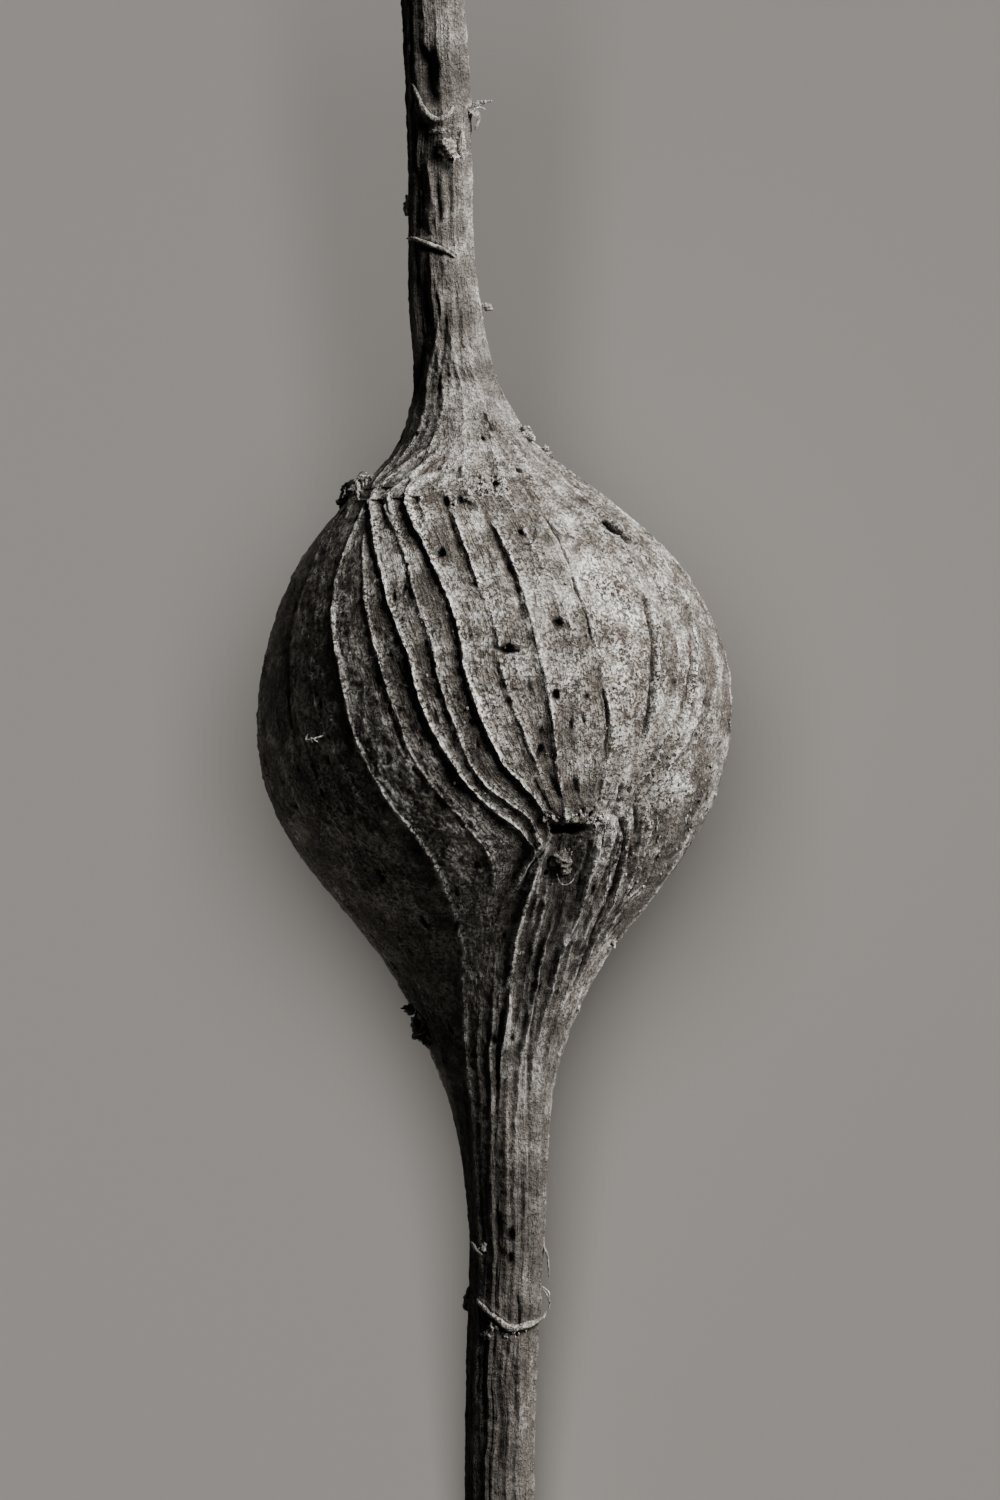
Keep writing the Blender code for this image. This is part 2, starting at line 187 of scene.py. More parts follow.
def layDown(points):
    # upright millimetres to the frame's metres: turned about X, then shifted, worn flat at 0
    turn = np.array(Matrix.Rotation(math.radians(laid["lean"] - 90.0), 3, "X"))
    moved = points @ turn.T + np.array(laid["place"])
    moved[..., 2] = np.maximum(moved[..., 2], 0.0)
    return moved * mm


def axisPoint(height):
    # the stem's middle line, upright
    side = smoothThrough(galled["sideDrift"], height)
    front = smoothThrough(galled["frontDrift"], height)
    return np.stack([side, -front, height + 0.0 * side], axis=-1)


def around(bearing, height, out):
    # middle line plus out times the sine and cosine of the bearing, upright
    angle = np.radians(bearing)
    away = np.stack([np.sin(angle) * out, -np.cos(angle) * out, 0.0 * angle * out], axis=-1)
    return axisPoint(height) + away


def ribPaths(height):
    # bearings of all the ribs: traced ones in front, evenly shared and drawn to scars behind
    front = [smoothThrough(path, height) for crest, path in ribbing["front"]]
    draw = np.random.default_rng(ribbing["seed"])
    uneven = draw.uniform(-ribbing["backUneven"], ribbing["backUneven"], ribbing["backCount"])
    sweep = draw.uniform(-ribbing["backSweep"], ribbing["backSweep"], ribbing["backCount"])
    span = front[0] + 360.0 - front[-1]
    back = []
    for number in range(ribbing["backCount"]):
        turned = sweep[number] * np.sin(height / ribbing["sweepLength"])
        share = number + 1 + uneven[number] + turned
        path = front[-1] + span * share / (ribbing["backCount"] + 1)
        for bearing, level in ribbing["backScars"]:
            away = degreesApart(path, bearing)
            near = np.exp(-(away / ribbing["pullReach"][0]) ** 2)
            near = near * np.exp(-((height - level) / ribbing["pullReach"][1]) ** 2)
            path = path - ribbing["pull"] * away * near
        back.append(path)
    return np.array(front + back)


def ribCrests(height):
    # rise of each rib, from its own on the ball to every second one on the stem
    draw = np.random.default_rng(ribbing["seed"] + 1)
    back = draw.uniform(*ribbing["backCrest"], ribbing["backCount"])
    onBall = np.concatenate([[crest for crest, path in ribbing["front"]], back])
    onStem = np.resize(ribbing["stemCrest"], ribCount)
    ball = riseBetween(height, *ribbing["fadeLow"])
    ball = ball * (1 - riseBetween(height, *ribbing["fadeHigh"]))
    crests = onBall[:, None] * ball + onStem[:, None] * (1 - ball)
    for rib, level, reach, extra in ribbing["keels"]:
        crests[rib] += extra * np.exp(-((height - level) / reach) ** 2)
    return crests


print("stage 2: ribs ready,", ribCount)

# Swellings and hollows: bearing, height, half width, half length, rise and how square the edge is.
forms = {
    "scarLip": (20, -5.6, 1.7, 0.6, 0.3, 3),
    "budHollow": (21, -8.4, 1.15, 1.45, -0.6, 3),
    "scarCornerLeft": (12.8, -7.6, 0.55, 0.7, 0.42, 3),
    "scarCornerRight": (31, -6.4, 0.55, 0.6, 0.12, 2),
    "besideScar": (42, -8.4, 0.7, 1.6, -0.18, 2),
    "backScarLip": (158, 3, 1.9, 0.7, 0.42, 3),
    "leftScarLip": (-118, -6, 1.7, 0.7, 0.4, 3),
    "nodeRimAbove": (-8, 31, 1.5, 0.55, 0.26, 3),
    "nodeHollow": (-12, 33.2, 0.45, 1.1, -0.36, 3),
    "collarBelow": (30, -32.1, 2.6, 0.6, 0.13, 3),
}
# Cords and creases drawn on the best side: half width, rise, darkness, then the drawn line, side
# and height in turn.
# the darkness is painted shade in and beside the creases and on the sides turned from the light
strokes = {
    "archFurrow": (0.07, -0.2, 0.95, 6, -5.95, 6.2, -5.88, 6.4, -6.05, 6.6, -6.4, 6.72, -6.8,
        6.78, -7.3, 6.78, -7.8, 6.7, -8.3, 6.6, -8.8, 6.45, -9.4),
    "archRib": (0.11, 0.2, 0, 6.45, -5.75, 6.75, -6.1, 6.92, -6.5, 6.97, -6.9, 7, -7.4, 6.98, -8,
        6.9, -8.7),
    "archInner": (0.09, -0.2, 0.55, 6.35, -6.9, 6.35, -7.4, 6.25, -7.9, 6.05, -8.5, 5.85, -9.1,
        5.65, -9.6, 5.4, -10.2, 5.2, -10.7, 5, -11.3, 4.6, -12.4),
    "archBand": (0.13, 0.3, 0, 6.5, -6.9, 6.55, -7.5, 6.5, -8, 6.35, -8.6, 6.12, -9.2, 5.92, -9.8,
        5.68, -10.4, 5.35, -11, 5, -11.7, 4.7, -12.6, 4.2, -13.9),
    "innerBand": (0.17, 0.42, 0, 5.45, -6.9, 5.35, -7.4, 5.38, -7.9, 5.22, -8.5, 5.08, -9.1,
        4.9, -9.7, 4.7, -10.3, 4.5, -10.9, 4.3, -11.5, 3.9, -12.4, 3.4, -13.7, 3, -15.4),
    "outerFurrow": (0.13, -0.32, 0.9, 7.25, -5.4, 7.35, -5.9, 7.42, -6.5, 7.38, -7.1),
    "outerRib": (0.12, 0.26, 0, 8, -5.9, 8.1, -6.9, 7.8, -8.1, 7.4, -9.2),
    "aboveRight": (0.11, -0.3, 0.8, 6.6, -4.4, 6.55, -4.9, 6.5, -5.4),
    "aboveFar": (0.1, -0.26, 0.75, 8.3, -4.2, 8, -4.9, 7.4, -5.4),
    "farStreak": (0.12, -0.26, 0.7, 8.7, -7.9, 8.4, -8.8, 8.1, -9.4, 7.8, -10.1),
    "farRib": (0.12, 0.2, 0, 6.9, -10.6, 7.6, -9.9, 8.4, -8.8),
    "panelLeft": (0.13, 0.24, 0, 3, -8.4, 2.9, -9.3, 2.75, -10.1, 2.55, -11, 2.2, -12.4,
        1.95, -13.8),
    "mainRib": (0.16, 0.38, 0, 2.95, -7.4, 2.5, -8.1, 2.28, -8.8, 2.08, -9.4, 1.85, -10,
        1.66, -10.7, 1.52, -11.4, 1.32, -12.1, 1.15, -12.8, 1.05, -13.6, 0.9, -14.4, 0.72, -15.3),
    "mainShade": (0.2, -0.08, 0, 1.8, -8.9, 1.5, -9.8, 1.2, -10.8, 1, -12, 0.75, -13.2,
        0.5, -15.1),
    "cornerCrack": (0.06, -0.24, 1.1, 2.95, -7.3, 2.6, -7.85, 2.25, -8.25, 1.95, -8.6, 1.7, -9.2),
    "panelShade": (0.34, -0.16, 0.5, 3.6, -9.6, 3.4, -10.6, 3.2, -11.9, 2.8, -13.2),
    "lipPocket": (0.1, -0.22, 0.8, 4.2, -5.9, 4.5, -5.8, 4.9, -5.9),
    "foldOne": (0.12, -0.2, 0.55, 3, -3.8, 3.3, -4.7, 3.7, -5.6),
    "foldTwo": (0.12, -0.2, 0.55, 4.2, -4, 4.4, -4.9, 4.5, -5.6),
    "foldThree": (0.1, -0.16, 0.45, 2.2, -4.2, 2.6, -5.1, 3, -5.9),
    "foldFour": (0.1, -0.14, 0.4, 5.6, -4.2, 5.5, -5, 5.4, -5.7),
    "shoulderFurrow": (0.17, -0.34, 0.8, -1, 10.35, -0.55, 9.85, -0.3, 9.3, 0, 8.7, 0.22, 8.2,
        0.45, 7.6, 0.72, 7, 0.95, 6.4, 1.15, 5.8, 1.4, 4.9, 1.7, 3.6),
    "shoulderHood": (0.13, 0.56, 0, -2, 9.8, -1.85, 10.15, -1.45, 10.33, -1.05, 10.25,
        -0.75, 9.95),
    "shoulderRib": (0.09, 0.34, 0, -1.98, 9.8, -1.8, 9.2, -1.62, 8.6, -1.5, 8, -1.3, 7.5, -1.1, 7,
        -0.85, 6.2, -0.7, 5.4),
    "longCrease": (0.07, -0.34, 1, 2.5, 9.6, 2.95, 9, 3.3, 8.4, 3.6, 7.8, 3.85, 7.2, 4.1, 6.4,
        4.4, 5.1),
    "leftHook": (0.13, 0.34, 0, -8, 10.3, -7.9, 10.9, -7.5, 11.3, -7, 11.2, -6.6, 10.6),
    "leftHookShade": (0.12, -0.26, 0.85, -7.7, 10.2, -7.6, 10.8, -7.3, 10.9, -6.8, 10.7),
    "leftStrip": (0.13, 0.22, 0, -7.5, 10.6, -7.5, 10, -7.7, 9.4),
    "leftFanShade": (0.13, -0.26, 0.8, -6.5, 10, -6.5, 8.7, -6.3, 7.5, -6, 6.1),
    "neckOne": (0.14, 0.34, 0, -3, 13.4, -3.7, 12.85, -4.5, 12.3, -5.1, 11.8, -5.6, 11.3,
        -5.95, 10.9, -6.12, 10.4, -6.05, 9.7, -6, 8.9, -5.9, 8.2),
    "neckTwo": (0.13, -0.24, 0.9, -2.9, 13.4, -3.6, 12.5, -4.3, 11.95, -5, 11.4, -5.55, 10.9,
        -5.75, 10.4, -5.6, 9.6, -5.5, 8.8),
    "neckThree": (0.14, 0.32, 0, -2.6, 13.4, -3.2, 12.6, -3.8, 12, -4.4, 11.5, -4.9, 11.1,
        -5.3, 10.6, -5.22, 10, -5.1, 9.4, -5, 8.6),
    "neckLump": (0.14, 0.6, 0, -2.75, 12.05, -2.3, 12.15, -1.95, 12.35, -1.6, 12.75),
    "midCrease": (0.06, -0.26, 0.8, 5.6, 0.5, 5.8, -0.3, 5.9, -1.3, 5.8, -3.2),
    "highCrease": (0.05, -0.22, 0.7, 4.3, 5.6, 4.7, 4.7, 5, 3.1),
    "rightCord": (0.1, 0.52, 0, 7.9, 5.5, 8.3, 4, 8.5, 2.4, 8.4, 0.8, 8.2, -0.8, 7.8, -2.4),
    "farCord": (0.11, 0.56, 0, 10.4, 4.2, 10.5, 2.6, 10.4, 1.1, 10.1, -0.3, 9.7, -1.6, 9.3, -2.5),
    "farCordLow": (0.1, 0.44, 0, 10.9, 0, 10.4, -1.2, 10, -2.2, 9.1, -3.4, 8.5, -4.8),
    "rightCordShade": (0.09, -0.4, 1.5, 7.7, 5.5, 8.1, 4, 8.3, 2.4, 8.2, 0.8, 8, -0.8, 7.6, -2.4),
    "farCordShade": (0.1, -0.4, 1.5, 10.2, 4.2, 10.3, 2.6, 10.2, 1.1, 9.9, -0.3, 9.5, -1.6),
    "cordHigh": (0.08, 0.32, 0, 6, 9.6, 6.6, 8.4, 7.2, 7, 7.7, 5.7),
    "wrinkleOne": (0.07, -0.34, 1.05, 9, 1.4, 9.3, 1, 9.5, 0.6),
    "wrinkleTwo": (0.05, -0.2, 0.75, 8.9, 3.3, 9.3, 2.9, 9.5, 2.4),
    "wrinkleThree": (0.07, -0.32, 1, 9.6, -2.2, 9.9, -2.9, 9.9, -3.6),
    "wrinkleFour": (0.07, -0.32, 1, 8.6, -3.2, 9.1, -3.9, 9.3, -4.7),
    "wrinkleFive": (0.08, 0.4, 0, 8.2, -2.8, 8.8, -3.5, 9.2, -4.3, 9.2, -5.2),
    "wrinkleSix": (0.08, 0.4, 0, 9.8, -3.4, 10.2, -4.4, 10.2, -5.4),
    "wrinkleSeven": (0.07, -0.24, 0.85, 8, -4.9, 8.4, -5.9, 8.4, -6.8),
    "leftCrease": (0.09, -0.26, 0.9, -9.9, 6.1, -10.4, 4.2, -10.6, 2, -10.5, -0.4, -10, -2.6),
    "archLow": (0.13, -0.46, 1.3, 6.62, -8.6, 6.5, -9.2, 6.3, -9.8, 6.1, -10.3, 5.85, -10.8,
        5.6, -11.4, 5.3, -12.1, 5, -13, 4.6, -14.1, 4.1, -15.9),
    "archTop": (0.22, 0.3, 0, 5.9, -6.7, 6.05, -6.35, 6.2, -6.6, 6.1, -7.3, 5.9, -8, 5.6, -8.7),
    "archLeft": (0.06, -0.2, 0.6, 5.7, -6.1, 5.75, -6.5, 5.65, -7.1, 5.6, -7.8),
    "innerShade": (0.13, -0.26, 1.05, 4.98, -7.1, 5, -7.5, 5, -8, 4.85, -8.6, 4.65, -9.2,
        4.45, -9.9, 4.3, -10.6),
    "outerSpot": (0.1, -0.22, 0.8, 7.25, -7.6, 7.18, -8, 7.05, -8.4),
    "hookAbove": (0.09, -0.26, 1.05, 5.4, -5.5, 5.5, -5.2, 5.75, -5.12, 6, -5.2),
    "shoulderShade": (0.16, -0.22, 0.7, -2.4, 10.3, -2.25, 9.7, -2.1, 9, -1.9, 8.2, -1.75, 7.4),
    "hoodTwo": (0.15, 0.36, 0, -2.5, 12, -3.2, 11.65, -3.8, 11.35, -4.15, 11, -4.32, 10.5,
        -4.2, 9.8, -4, 9.2, -3.65, 8.6, -3.4, 8),
    "hoodTwoFill": (0.28, 0.24, 0, -3.8, 10.5, -3.5, 9.8, -3.2, 9),
    "hoodTwoShade": (0.16, -0.26, 0.75, -2.3, 13, -2.9, 12.4, -3.5, 11.9, -4.1, 11.5, -4.55, 11.05,
        -4.75, 10.6, -4.65, 10, -4.5, 9.4, -4.2, 8.8, -3.8, 8.1, -3.5, 7.3, -3.2, 6.5, -2.9, 5.6),
    "neckLumpLow": (0.14, 0.5, 0, -2.25, 11.3, -1.8, 11.35, -1.55, 11.7, -1.5, 12.2),
    "neckLumpShade": (0.12, -0.26, 0.8, -2.7, 11.8, -2.3, 11.8, -1.95, 11.9),
    "hoodSpots": (0.12, -0.2, 0.95, -2.9, 10.75, -2.6, 10.5, -2.3, 10.15, -2.2, 10.5),
    "longCreaseTop": (0.2, -0.3, 0.6, 1.2, 11.8, 1.6, 11.1, 2, 10.5, 2.3, 9.8),
    "neckRight": (0.18, 0.4, 0, 0.75, 10.4, 0.6, 11, 0.45, 11.7, 0.2, 12.4, -0.1, 13.4),
    "mainEnd": (0.14, 0.34, 0, 1.2, -13.15, 1.5, -13.2, 1.75, -13.1),
    "ribEnd": (0.17, 0.5, 0, 2.4, -7.1, 2.25, -7.6, 1.95, -8.1, 1.62, -8.6, 1.35, -9.1,
        1.12, -9.7),
    "secondRib": (0.11, 0.24, 0, 2.65, -8.2, 2.45, -9, 2.3, -10, 2.15, -11, 1.95, -12.2),
    "neckDark": (0.34, -0.1, 1.4, -4, 22.8, -3.75, 21.6, -3.45, 20.4, -3.25, 19.4, -3.45, 18.2,
        -3.85, 16.9, -4.35, 15.4),
    "neckOneShade": (0.15, -0.34, 0.95, -3.6, 13.4, -4.5, 12.7, -5.3, 12, -5.9, 11.4, -6.4, 10.7,
        -6.45, 10, -6.35, 9.2),
    "hoodInner": (0.14, -0.28, 0.55, -2.6, 11.6, -3.2, 11.2, -3.7, 10.9, -3.95, 10.5, -3.85, 10),
    "neckRightShade": (0.16, -0.3, 0.7, 0.25, 10.9, 0.1, 11.5, -0.1, 12.1, -0.4, 13),
    "neckFar": (0.18, 0.4, 0, 2.3, 11.2, 1.9, 11.8, 1.5, 12.5, 1.1, 13.4),
    "crossCrease": (0.06, -0.1, 0.4, 11, 0.2, 11.3, 0.3, 11.5, 0.1),
    "collarLip": (0.14, 0.26, 0, -0.7, -31.6, -0.3, -31.9, 0.4, -32.5, 0.8, -32.9, 1.3, -33.1,
        2, -32.9, 2.6, -32.8, 3, -32.4),
    "collarShade": (0.14, -0.22, 0.9, -0.4, -32.2, 0.3, -32.8, 0.8, -33.2, 1.4, -33.4, 2.1, -33.2,
        2.7, -33),
    "stemSlit": (0.07, -0.22, 0.85, 1.3, -31.2, 1.4, -33),
    "stemEdge": (0.16, -0.3, 0.7, 0.6, -15.1, 0.4, -18, 0.3, -21.2, 0.4, -24.4, 0.4, -27.6,
        0.4, -31.3),
    "stemRibOne": (0.13, 0.2, 0, 0.9, -15.1, 0.8, -18, 0.7, -21.2, 0.8, -24.4, 0.8, -27.6,
        0.8, -31.3),
    "stemRibTwo": (0.12, 0.16, 0, 2, -13.8, 1.8, -15.9, 1.7, -19.1, 1.6, -22.3, 1.7, -25.4,
        1.7, -29.7),
    "stemFurrowTwo": (0.11, -0.18, 0.6, 2.6, -13.8, 2.1, -16.4, 1.9, -20.1, 1.9, -23.3, 2, -26.5),
    "stemBroad": (0.3, 0.16, 0, 3.4, -13.8, 2.8, -16.4, 2.5, -19.1, 2.3, -22.3, 2.3, -25.4,
        2.2, -29.7, 2.2, -32.3),
    "lowEdge": (0.16, -0.24, 0.7, 0.2, -34.2, 0.3, -35.5, 0.4, -38.2, 0.4, -41.3),
    "lowRib": (0.18, 0.16, 0, 1.3, -33.9, 1.4, -37.1, 1.5, -40.3, 1.5, -42.4),
    "lowPatch": (0.14, -0.16, 0.5, 0.7, -34.2, 1, -35.2, 0.8, -36.8),
    "hollowOne": (0.26, -0.56, 1.5, -3.2, 34.1, -3.35, 33.3, -3.4, 32.5, -3.25, 31.8, -3.05, 31.1),
    "rimLeft": (0.16, 0.34, 0, -4, 31.9, -3.6, 31, -3.1, 30.45, -2.65, 30.6, -2.3, 31.2),
    "nodeShade": (0.34, -0.3, 1.6, -3.5, 30.4, -3.35, 29.6, -3.1, 28.8, -2.7, 28.2, -2.2, 27.9),
    "broadRib": (0.34, 0.22, 0, -2.2, 36, -2.4, 34.4, -2.4, 32.9, -2.1, 31.6),
    "budRim": (0.12, 0.14, 0, -2.7, 29.7, -2.4, 30.1, -1.9, 30.2, -1.5, 29.9),
    "ribUnderOne": (0.11, 0.2, 0, -3.3, 28.4, -3.2, 27, -3, 25.7, -2.9, 24.8),
    "ribUnderTwo": (0.09, 0.12, 0, -2.6, 27.6, -2.5, 26.2, -2.5, 24.9),
    "ribUnderBroad": (0.22, 0.2, 0, -1.7, 28, -1.7, 26.5, -1.7, 24.8),
    "furrowUnder": (0.09, -0.2, 0.7, -2.9, 27.7, -2.8, 26.2, -2.7, 25),
    "furrowUnderTwo": (0.09, -0.18, 0.6, -2.2, 27.6, -2.2, 26.2, -2.2, 25),
    "ringLine": (0.12, 0.22, 0, -4.2, 24.4, -3.8, 24.3, -3.2, 24.2, -2.7, 24, -2.2, 23.7,
        -1.7, 23.3),
    "ringShade": (0.12, -0.22, 0.9, -4.1, 24, -3.6, 23.8, -3, 23.6, -2.4, 23.4),
    "ringSpot": (0.14, -0.18, 0.6, -1.3, 24.1, -1.3, 23.7),
    "stemDarkSide": (0.3, -0.26, 0.65, -3.8, 28.1, -3.8, 26, -3.8, 24.6),
    "stemDarkLow": (0.28, -0.24, 0.65, -3.7, 23.2, -3.6, 21.2, -3.6, 18.8, -3.8, 17, -4, 15.3),
    "ribLowOne": (0.1, 0.18, 0, -3.2, 22.9, -2.9, 21.7, -2.7, 20.7, -2.9, 19.1, -3.2, 17.5,
        -3.4, 15.9),
    "ribLowTwo": (0.1, 0.16, 0, -2.2, 22.9, -2.1, 21.2, -2.1, 19.1, -2.2, 17, -2.3, 14.8),
    "furrowLow": (0.09, -0.18, 0.6, -2.5, 22.5, -2.4, 20.7, -2.5, 18.6, -2.8, 16.4, -3, 14.8),
    "ribLowThree": (0.14, 0.16, 0, -1.5, 22.8, -1.2, 20.7, -1.1, 18.6, -1, 16.7, -0.4, 15.1),
    "furrowLowTwo": (0.08, -0.16, 0.5, -1.7, 21.2, -1.7, 19.1, -1.6, 17, -1.4, 15.1),
}
drawing = {
    "rise": 0.5, "shade": 0.5, "finer": 5,   # shares of the table's numbers, and steps to a spot
    "reach": 2.6, "behind": 1, "widest": 0.99, "taper": 7, "taperPower": 0.7,
    "raggedWidth": 0.25, "raggedRise": 0.3, "shadeNarrow": 1.25,
}
# Leaf scar slots: bearing, height, half width, half length, depth and the lip's droop over it.
slots = {
    "front": (20.9, -6.62, 0.86, 0.29, 1, 0.24),
    "back": (158, 1.7, 1.35, 0.42, 0.9, 0.2),
    "left": (-118, -7.3, 1.25, 0.42, 0.85, 0.2),
}
slotted = {"upperRagged": 0.3, "lowerRagged": 0.12, "square": 5, "dark": 0.85,
           "lipAway": 2, "lipHalf": 0.9, "lipSquare": 4}
# Pits that show one by one: bearing, height, half width, half length, depth and tilt in degrees.
ownPits = {
    "longPit": (3, 2.45, 0.56, 0.2, 0.6, -6), "upperPit": (50.9, 8.92, 0.44, 0.36, 0.8, 0),
    "upperPitLow": (53, 8.44, 0.4, 0.36, 0.75, 0), "leftPit": (-14.5, 7.4, 0.22, 0.22, 0.4, 0),
    "rightPit": (16.2, 3.8, 0.2, 0.24, 0.35, 10), "lowPit": (14.5, 0.2, 0.2, 0.24, 0.35, 0),
    "slotEnd": (17.9, -6.5, 0.26, 0.32, 0.4, 0), "budPitUpper": (18.2, -8.35, 0.11, 0.16, 0.3, 0),
    "budPitLower": (17.6, -8.95, 0.12, 0.12, 0.3, 0),
    "lipPitOne": (23, -5.75, 0.12, 0.14, 0.35, 0), "lipPitTwo": (26, -5.9, 0.1, 0.12, 0.3, 0),
    "rimPitOne": (-14, 10.2, 0.17, 0.2, 0.4, 0), "rimPitTwo": (-8, 10.3, 0.16, 0.16, 0.4, 0),
    "rimPitThree": (9.5, 11.1, 0.18, 0.18, 0.35, 0), "rimPitFour": (27, 11.9, 0.16, 0.14, 0.3, 0),
    "stemPitOne": (6, -28.2, 0.2, 0.28, 0.22, 0), "stemPitTwo": (5, -29.4, 0.13, 0.26, 0.2, 0),
    "nodePit": (-25, 34, 0.2, 0.4, 0.3, 0),
}
# Darker places, and paler ones with a share below nought: bearing, height, half width, half length
# and share.
stainsAndShade = {
    "lowerRight": (58, -7.5, 4.5, 3.6, 0.75), "rightEdge": (74, -0.5, 4.8, 6.5, 0.75),
    "underLip": (9, -3.4, 3.2, 2.6, 0.55), "bleached": (40, 4.4, 3.8, 5, -0.45),
    "midLeft": (-16, 2, 3, 4.5, 0.38), "bleachedLow": (48, -4, 2.2, 2, -0.2),
    # leftSide is painted shade on the ball's side turned from the key light
    "slotBlob": (30, -6.2, 0.55, 0.4, -0.6), "leftSide": (-74, -1, 6.2, 9.5, 0.62),
    "panel": (20.5, -9, 1.4, 2.9, 1.5), "belowPanel": (36, -12.6, 2.4, 3.2, 0.5),
    # lowerLeftSide and upperLeftSide are painted shade on the stems' sides turned from the key
    # light
    "lowerLeftSide": (-60, -32, 1.95, 17, 1.5), "upperLeftSide": (-66, 29, 1.4, 15, 1.3),
    "shoulder": (6, 9.2, 4.5, 2, 0.4), "shoulderRight": (22, 7.6, 1.8, 1.5, 0.3),
    "underShoulder": (-16, 6.5, 1.6, 2.2, 0.3), "upperStem": (40, 27, 2.4, 14, 0.35),
    "lowerStem": (20, -31, 3.5, 14, 0.85), "node": (-20, 31.5, 2.2, 3.5, 0.35),
    "lowerNeck": (20, -15, 3.5, 4, 0.4), "backLow": (150, -7, 6, 4, 0.4),
    "backSide": (-150, 4, 5, 4, 0.35),
}
# Places where the ribs are faint: bearing, height, half width, half length and share taken off.
calmed = {
    "aboveSlot": (15.5, -4.4, 1, 1.7, 0.5), "besideScar": (35, -8.6, 1.7, 3.4, 0.85),
    "panel": (21, -9.2, 1, 2.6, 0.85), "leftOfPanel": (5, -12.5, 0.45, 3, 0.85),
    "lowerLeft": (0.5, -12.5, 1.3, 3.8, 0.85), "farLowerLeft": (-14, -14, 0.9, 3.6, 0.7),
}
# Rougher places: bearing, height, half width, half length and how much stronger the crust is.
roughPlaces = {
    "lowerRight": (60, -5, 4.2, 5, 0.75), "shoulder": (4, 11.4, 4.4, 1.8, -0.2),
    "node": (20, 29, 2.4, 2.6, 0.2), "midPanels": (-8, 0, 5.5, 8, 0.35),
    "underCollar": (0, -36, 2.4, 3.4, 1.1), "backShoulder": (150, 9, 4, 2.5, 1),
}
scattered = {"count": 150, "half": (0.05, 0.15), "stretch": (1, 3), "depth": (0.08, 0.24),
             "heights": (-19, 15), "tilt": (-25, 25), "seed": 21}
pitted = {"reach": 1.8, "ragged": 0.32, "square": 4, "darkSize": 0.85, "darkSquare": 6}
# The skin: where the ball's takes over from the stem's, its strands, flakes and crust.
surface = {
    "ballLow": (-27, -12), "ballHigh": (10, 20),       # heights where the stem's skin changes
    "flowStem": 4, "flowBall": 8.5, "unevenStretch": (1, 1, 2.5), "strandStretch": (1, 1, 16),
    "strand": 0.03, "strandLess": 0.72,                # less on the ball
    "flake": 0.2, "flakeLong": 3.2, "flakeSlant": 42, "flakeRange": (-0.2, 1),
    "crustStem": 0.45, "wornLeft": 0.35, "calmSquare": 4,
}
grains = {                               # strength, size, seed, octaves and what each one keeps
    "wander": (0.12, 3.2, 3, 1, 0.5),    # sideways wander of the ribs
    "wiggle": (0.055, 1, 7, 1, 0.5), "ripple": (0.045, 0.4, 8, 1, 0.5),
    "uneven": (0.55, 2.6, 5, 1, 0.5),    # how much a crest's rise varies along it
    "bead": (0.45, 0.7, 9, 1, 0.5),      # how much a crest breaks up along it
    "lump": (0.07, 5, 91, 1, 0.5), "strand": (2.2, 0.5, 41, 2, 0.5),
    "crust": (0.062, 0.75, 61, 3, 0.6), "grain": (0.05, 0.27, 81, 2, 0.6),
    "flake": (1, 0.42, 111, 2, 0.5), "ragged": (1, 0.5, 101, 2, 0.6),
    "patch": (1, 2.1, 141, 4, 0.6),
    "mottle": (0.32, 1.2, 151, 3, 0.6),  # paler and darker places a millimetre or so across
}
# How relief, stains, painted shade and noise make up the looks that the material reads.
shading = {
    "crest": 0.5, "raised": 2.4, "fine": 2.2, "crestStem": 0.6,
    "furrow": 3.6, "furrowPatchy": 0.9, "paintedDeepShade": 0.6, "paintedDeepShadeFrom": 0.9,
    "stainAndShade": 0.22, "stainStem": 0.42, "stainPatchy": 0.72, "stainAndShadeRagged": 0.5,
    "paleRise": 0.13, "paleClean": 0.8,
    "leeShade": 0.78, "leeCrest": 0.15, "leePatchy": 1.2,   # painted shade at the foot of a rib's steep flank
    "speckStem": 0.4, "speckBall": 0.75, "speckRough": 0.25, "speckPatchy": 0.5,
}


def grainAt(name, points):
    # one noise of the table: its strength times rough noise of its size
    strength, *sizes = grains[name]
    return strength * roughAt(points, *sizes)


def surfaceSpot(bearing, height, radius, middle, level):
    # millimetres across and along the surface from a place on it
    return np.radians(degreesApart(bearing, middle)) * radius, height - level


def bell(across, along, power=2):
    # e to the minus both shares, each to the power
    return np.exp(-np.abs(across) ** power - np.abs(along) ** power)


def bellsOver(table, bearing, height, radius, power=2):
    # one place of a table after another: its bell times its last number
    for middle, level, halfWidth, halfLength, strength in table.values():
        across, along = surfaceSpot(bearing, height, radius, middle, level)
        yield strength * bell(across / halfWidth, along / halfLength, power)


def fromStem(least, onBall):
    # a share on the stem that grows to one on the ball
    return least + (1 - least) * onBall


def ribRelief(share, gap, crest, nextCrest, hollow):
    # a slow right flank, a steep left one, and a furrow at the foot of the steep one that
    # deepens at once and rises slowly again; hollow is the share of the furrow that is left
    rightOf = share * gap
    leftOf = (1 - share) * gap
    flank = crest * np.exp(-(rightOf / ribbing["flankHalf"]) ** ribbing["rightPower"])
    flank = flank + ribbing["pleat"] * crest * (1 - share) ** ribbing["pleatPower"]
    steep = nextCrest * np.exp(-(leftOf / ribbing["flankHalf"]) ** ribbing["leftPower"])
    past = leftOf - ribbing["furrowAway"]
    dip = np.exp(-(past / np.where(past > 0, ribbing["furrowFar"], ribbing["furrowHalf"])) ** 2)
    dip = dip * ribbing["furrowDepth"] * nextCrest * hollow
    return flank + steep - dip, dip


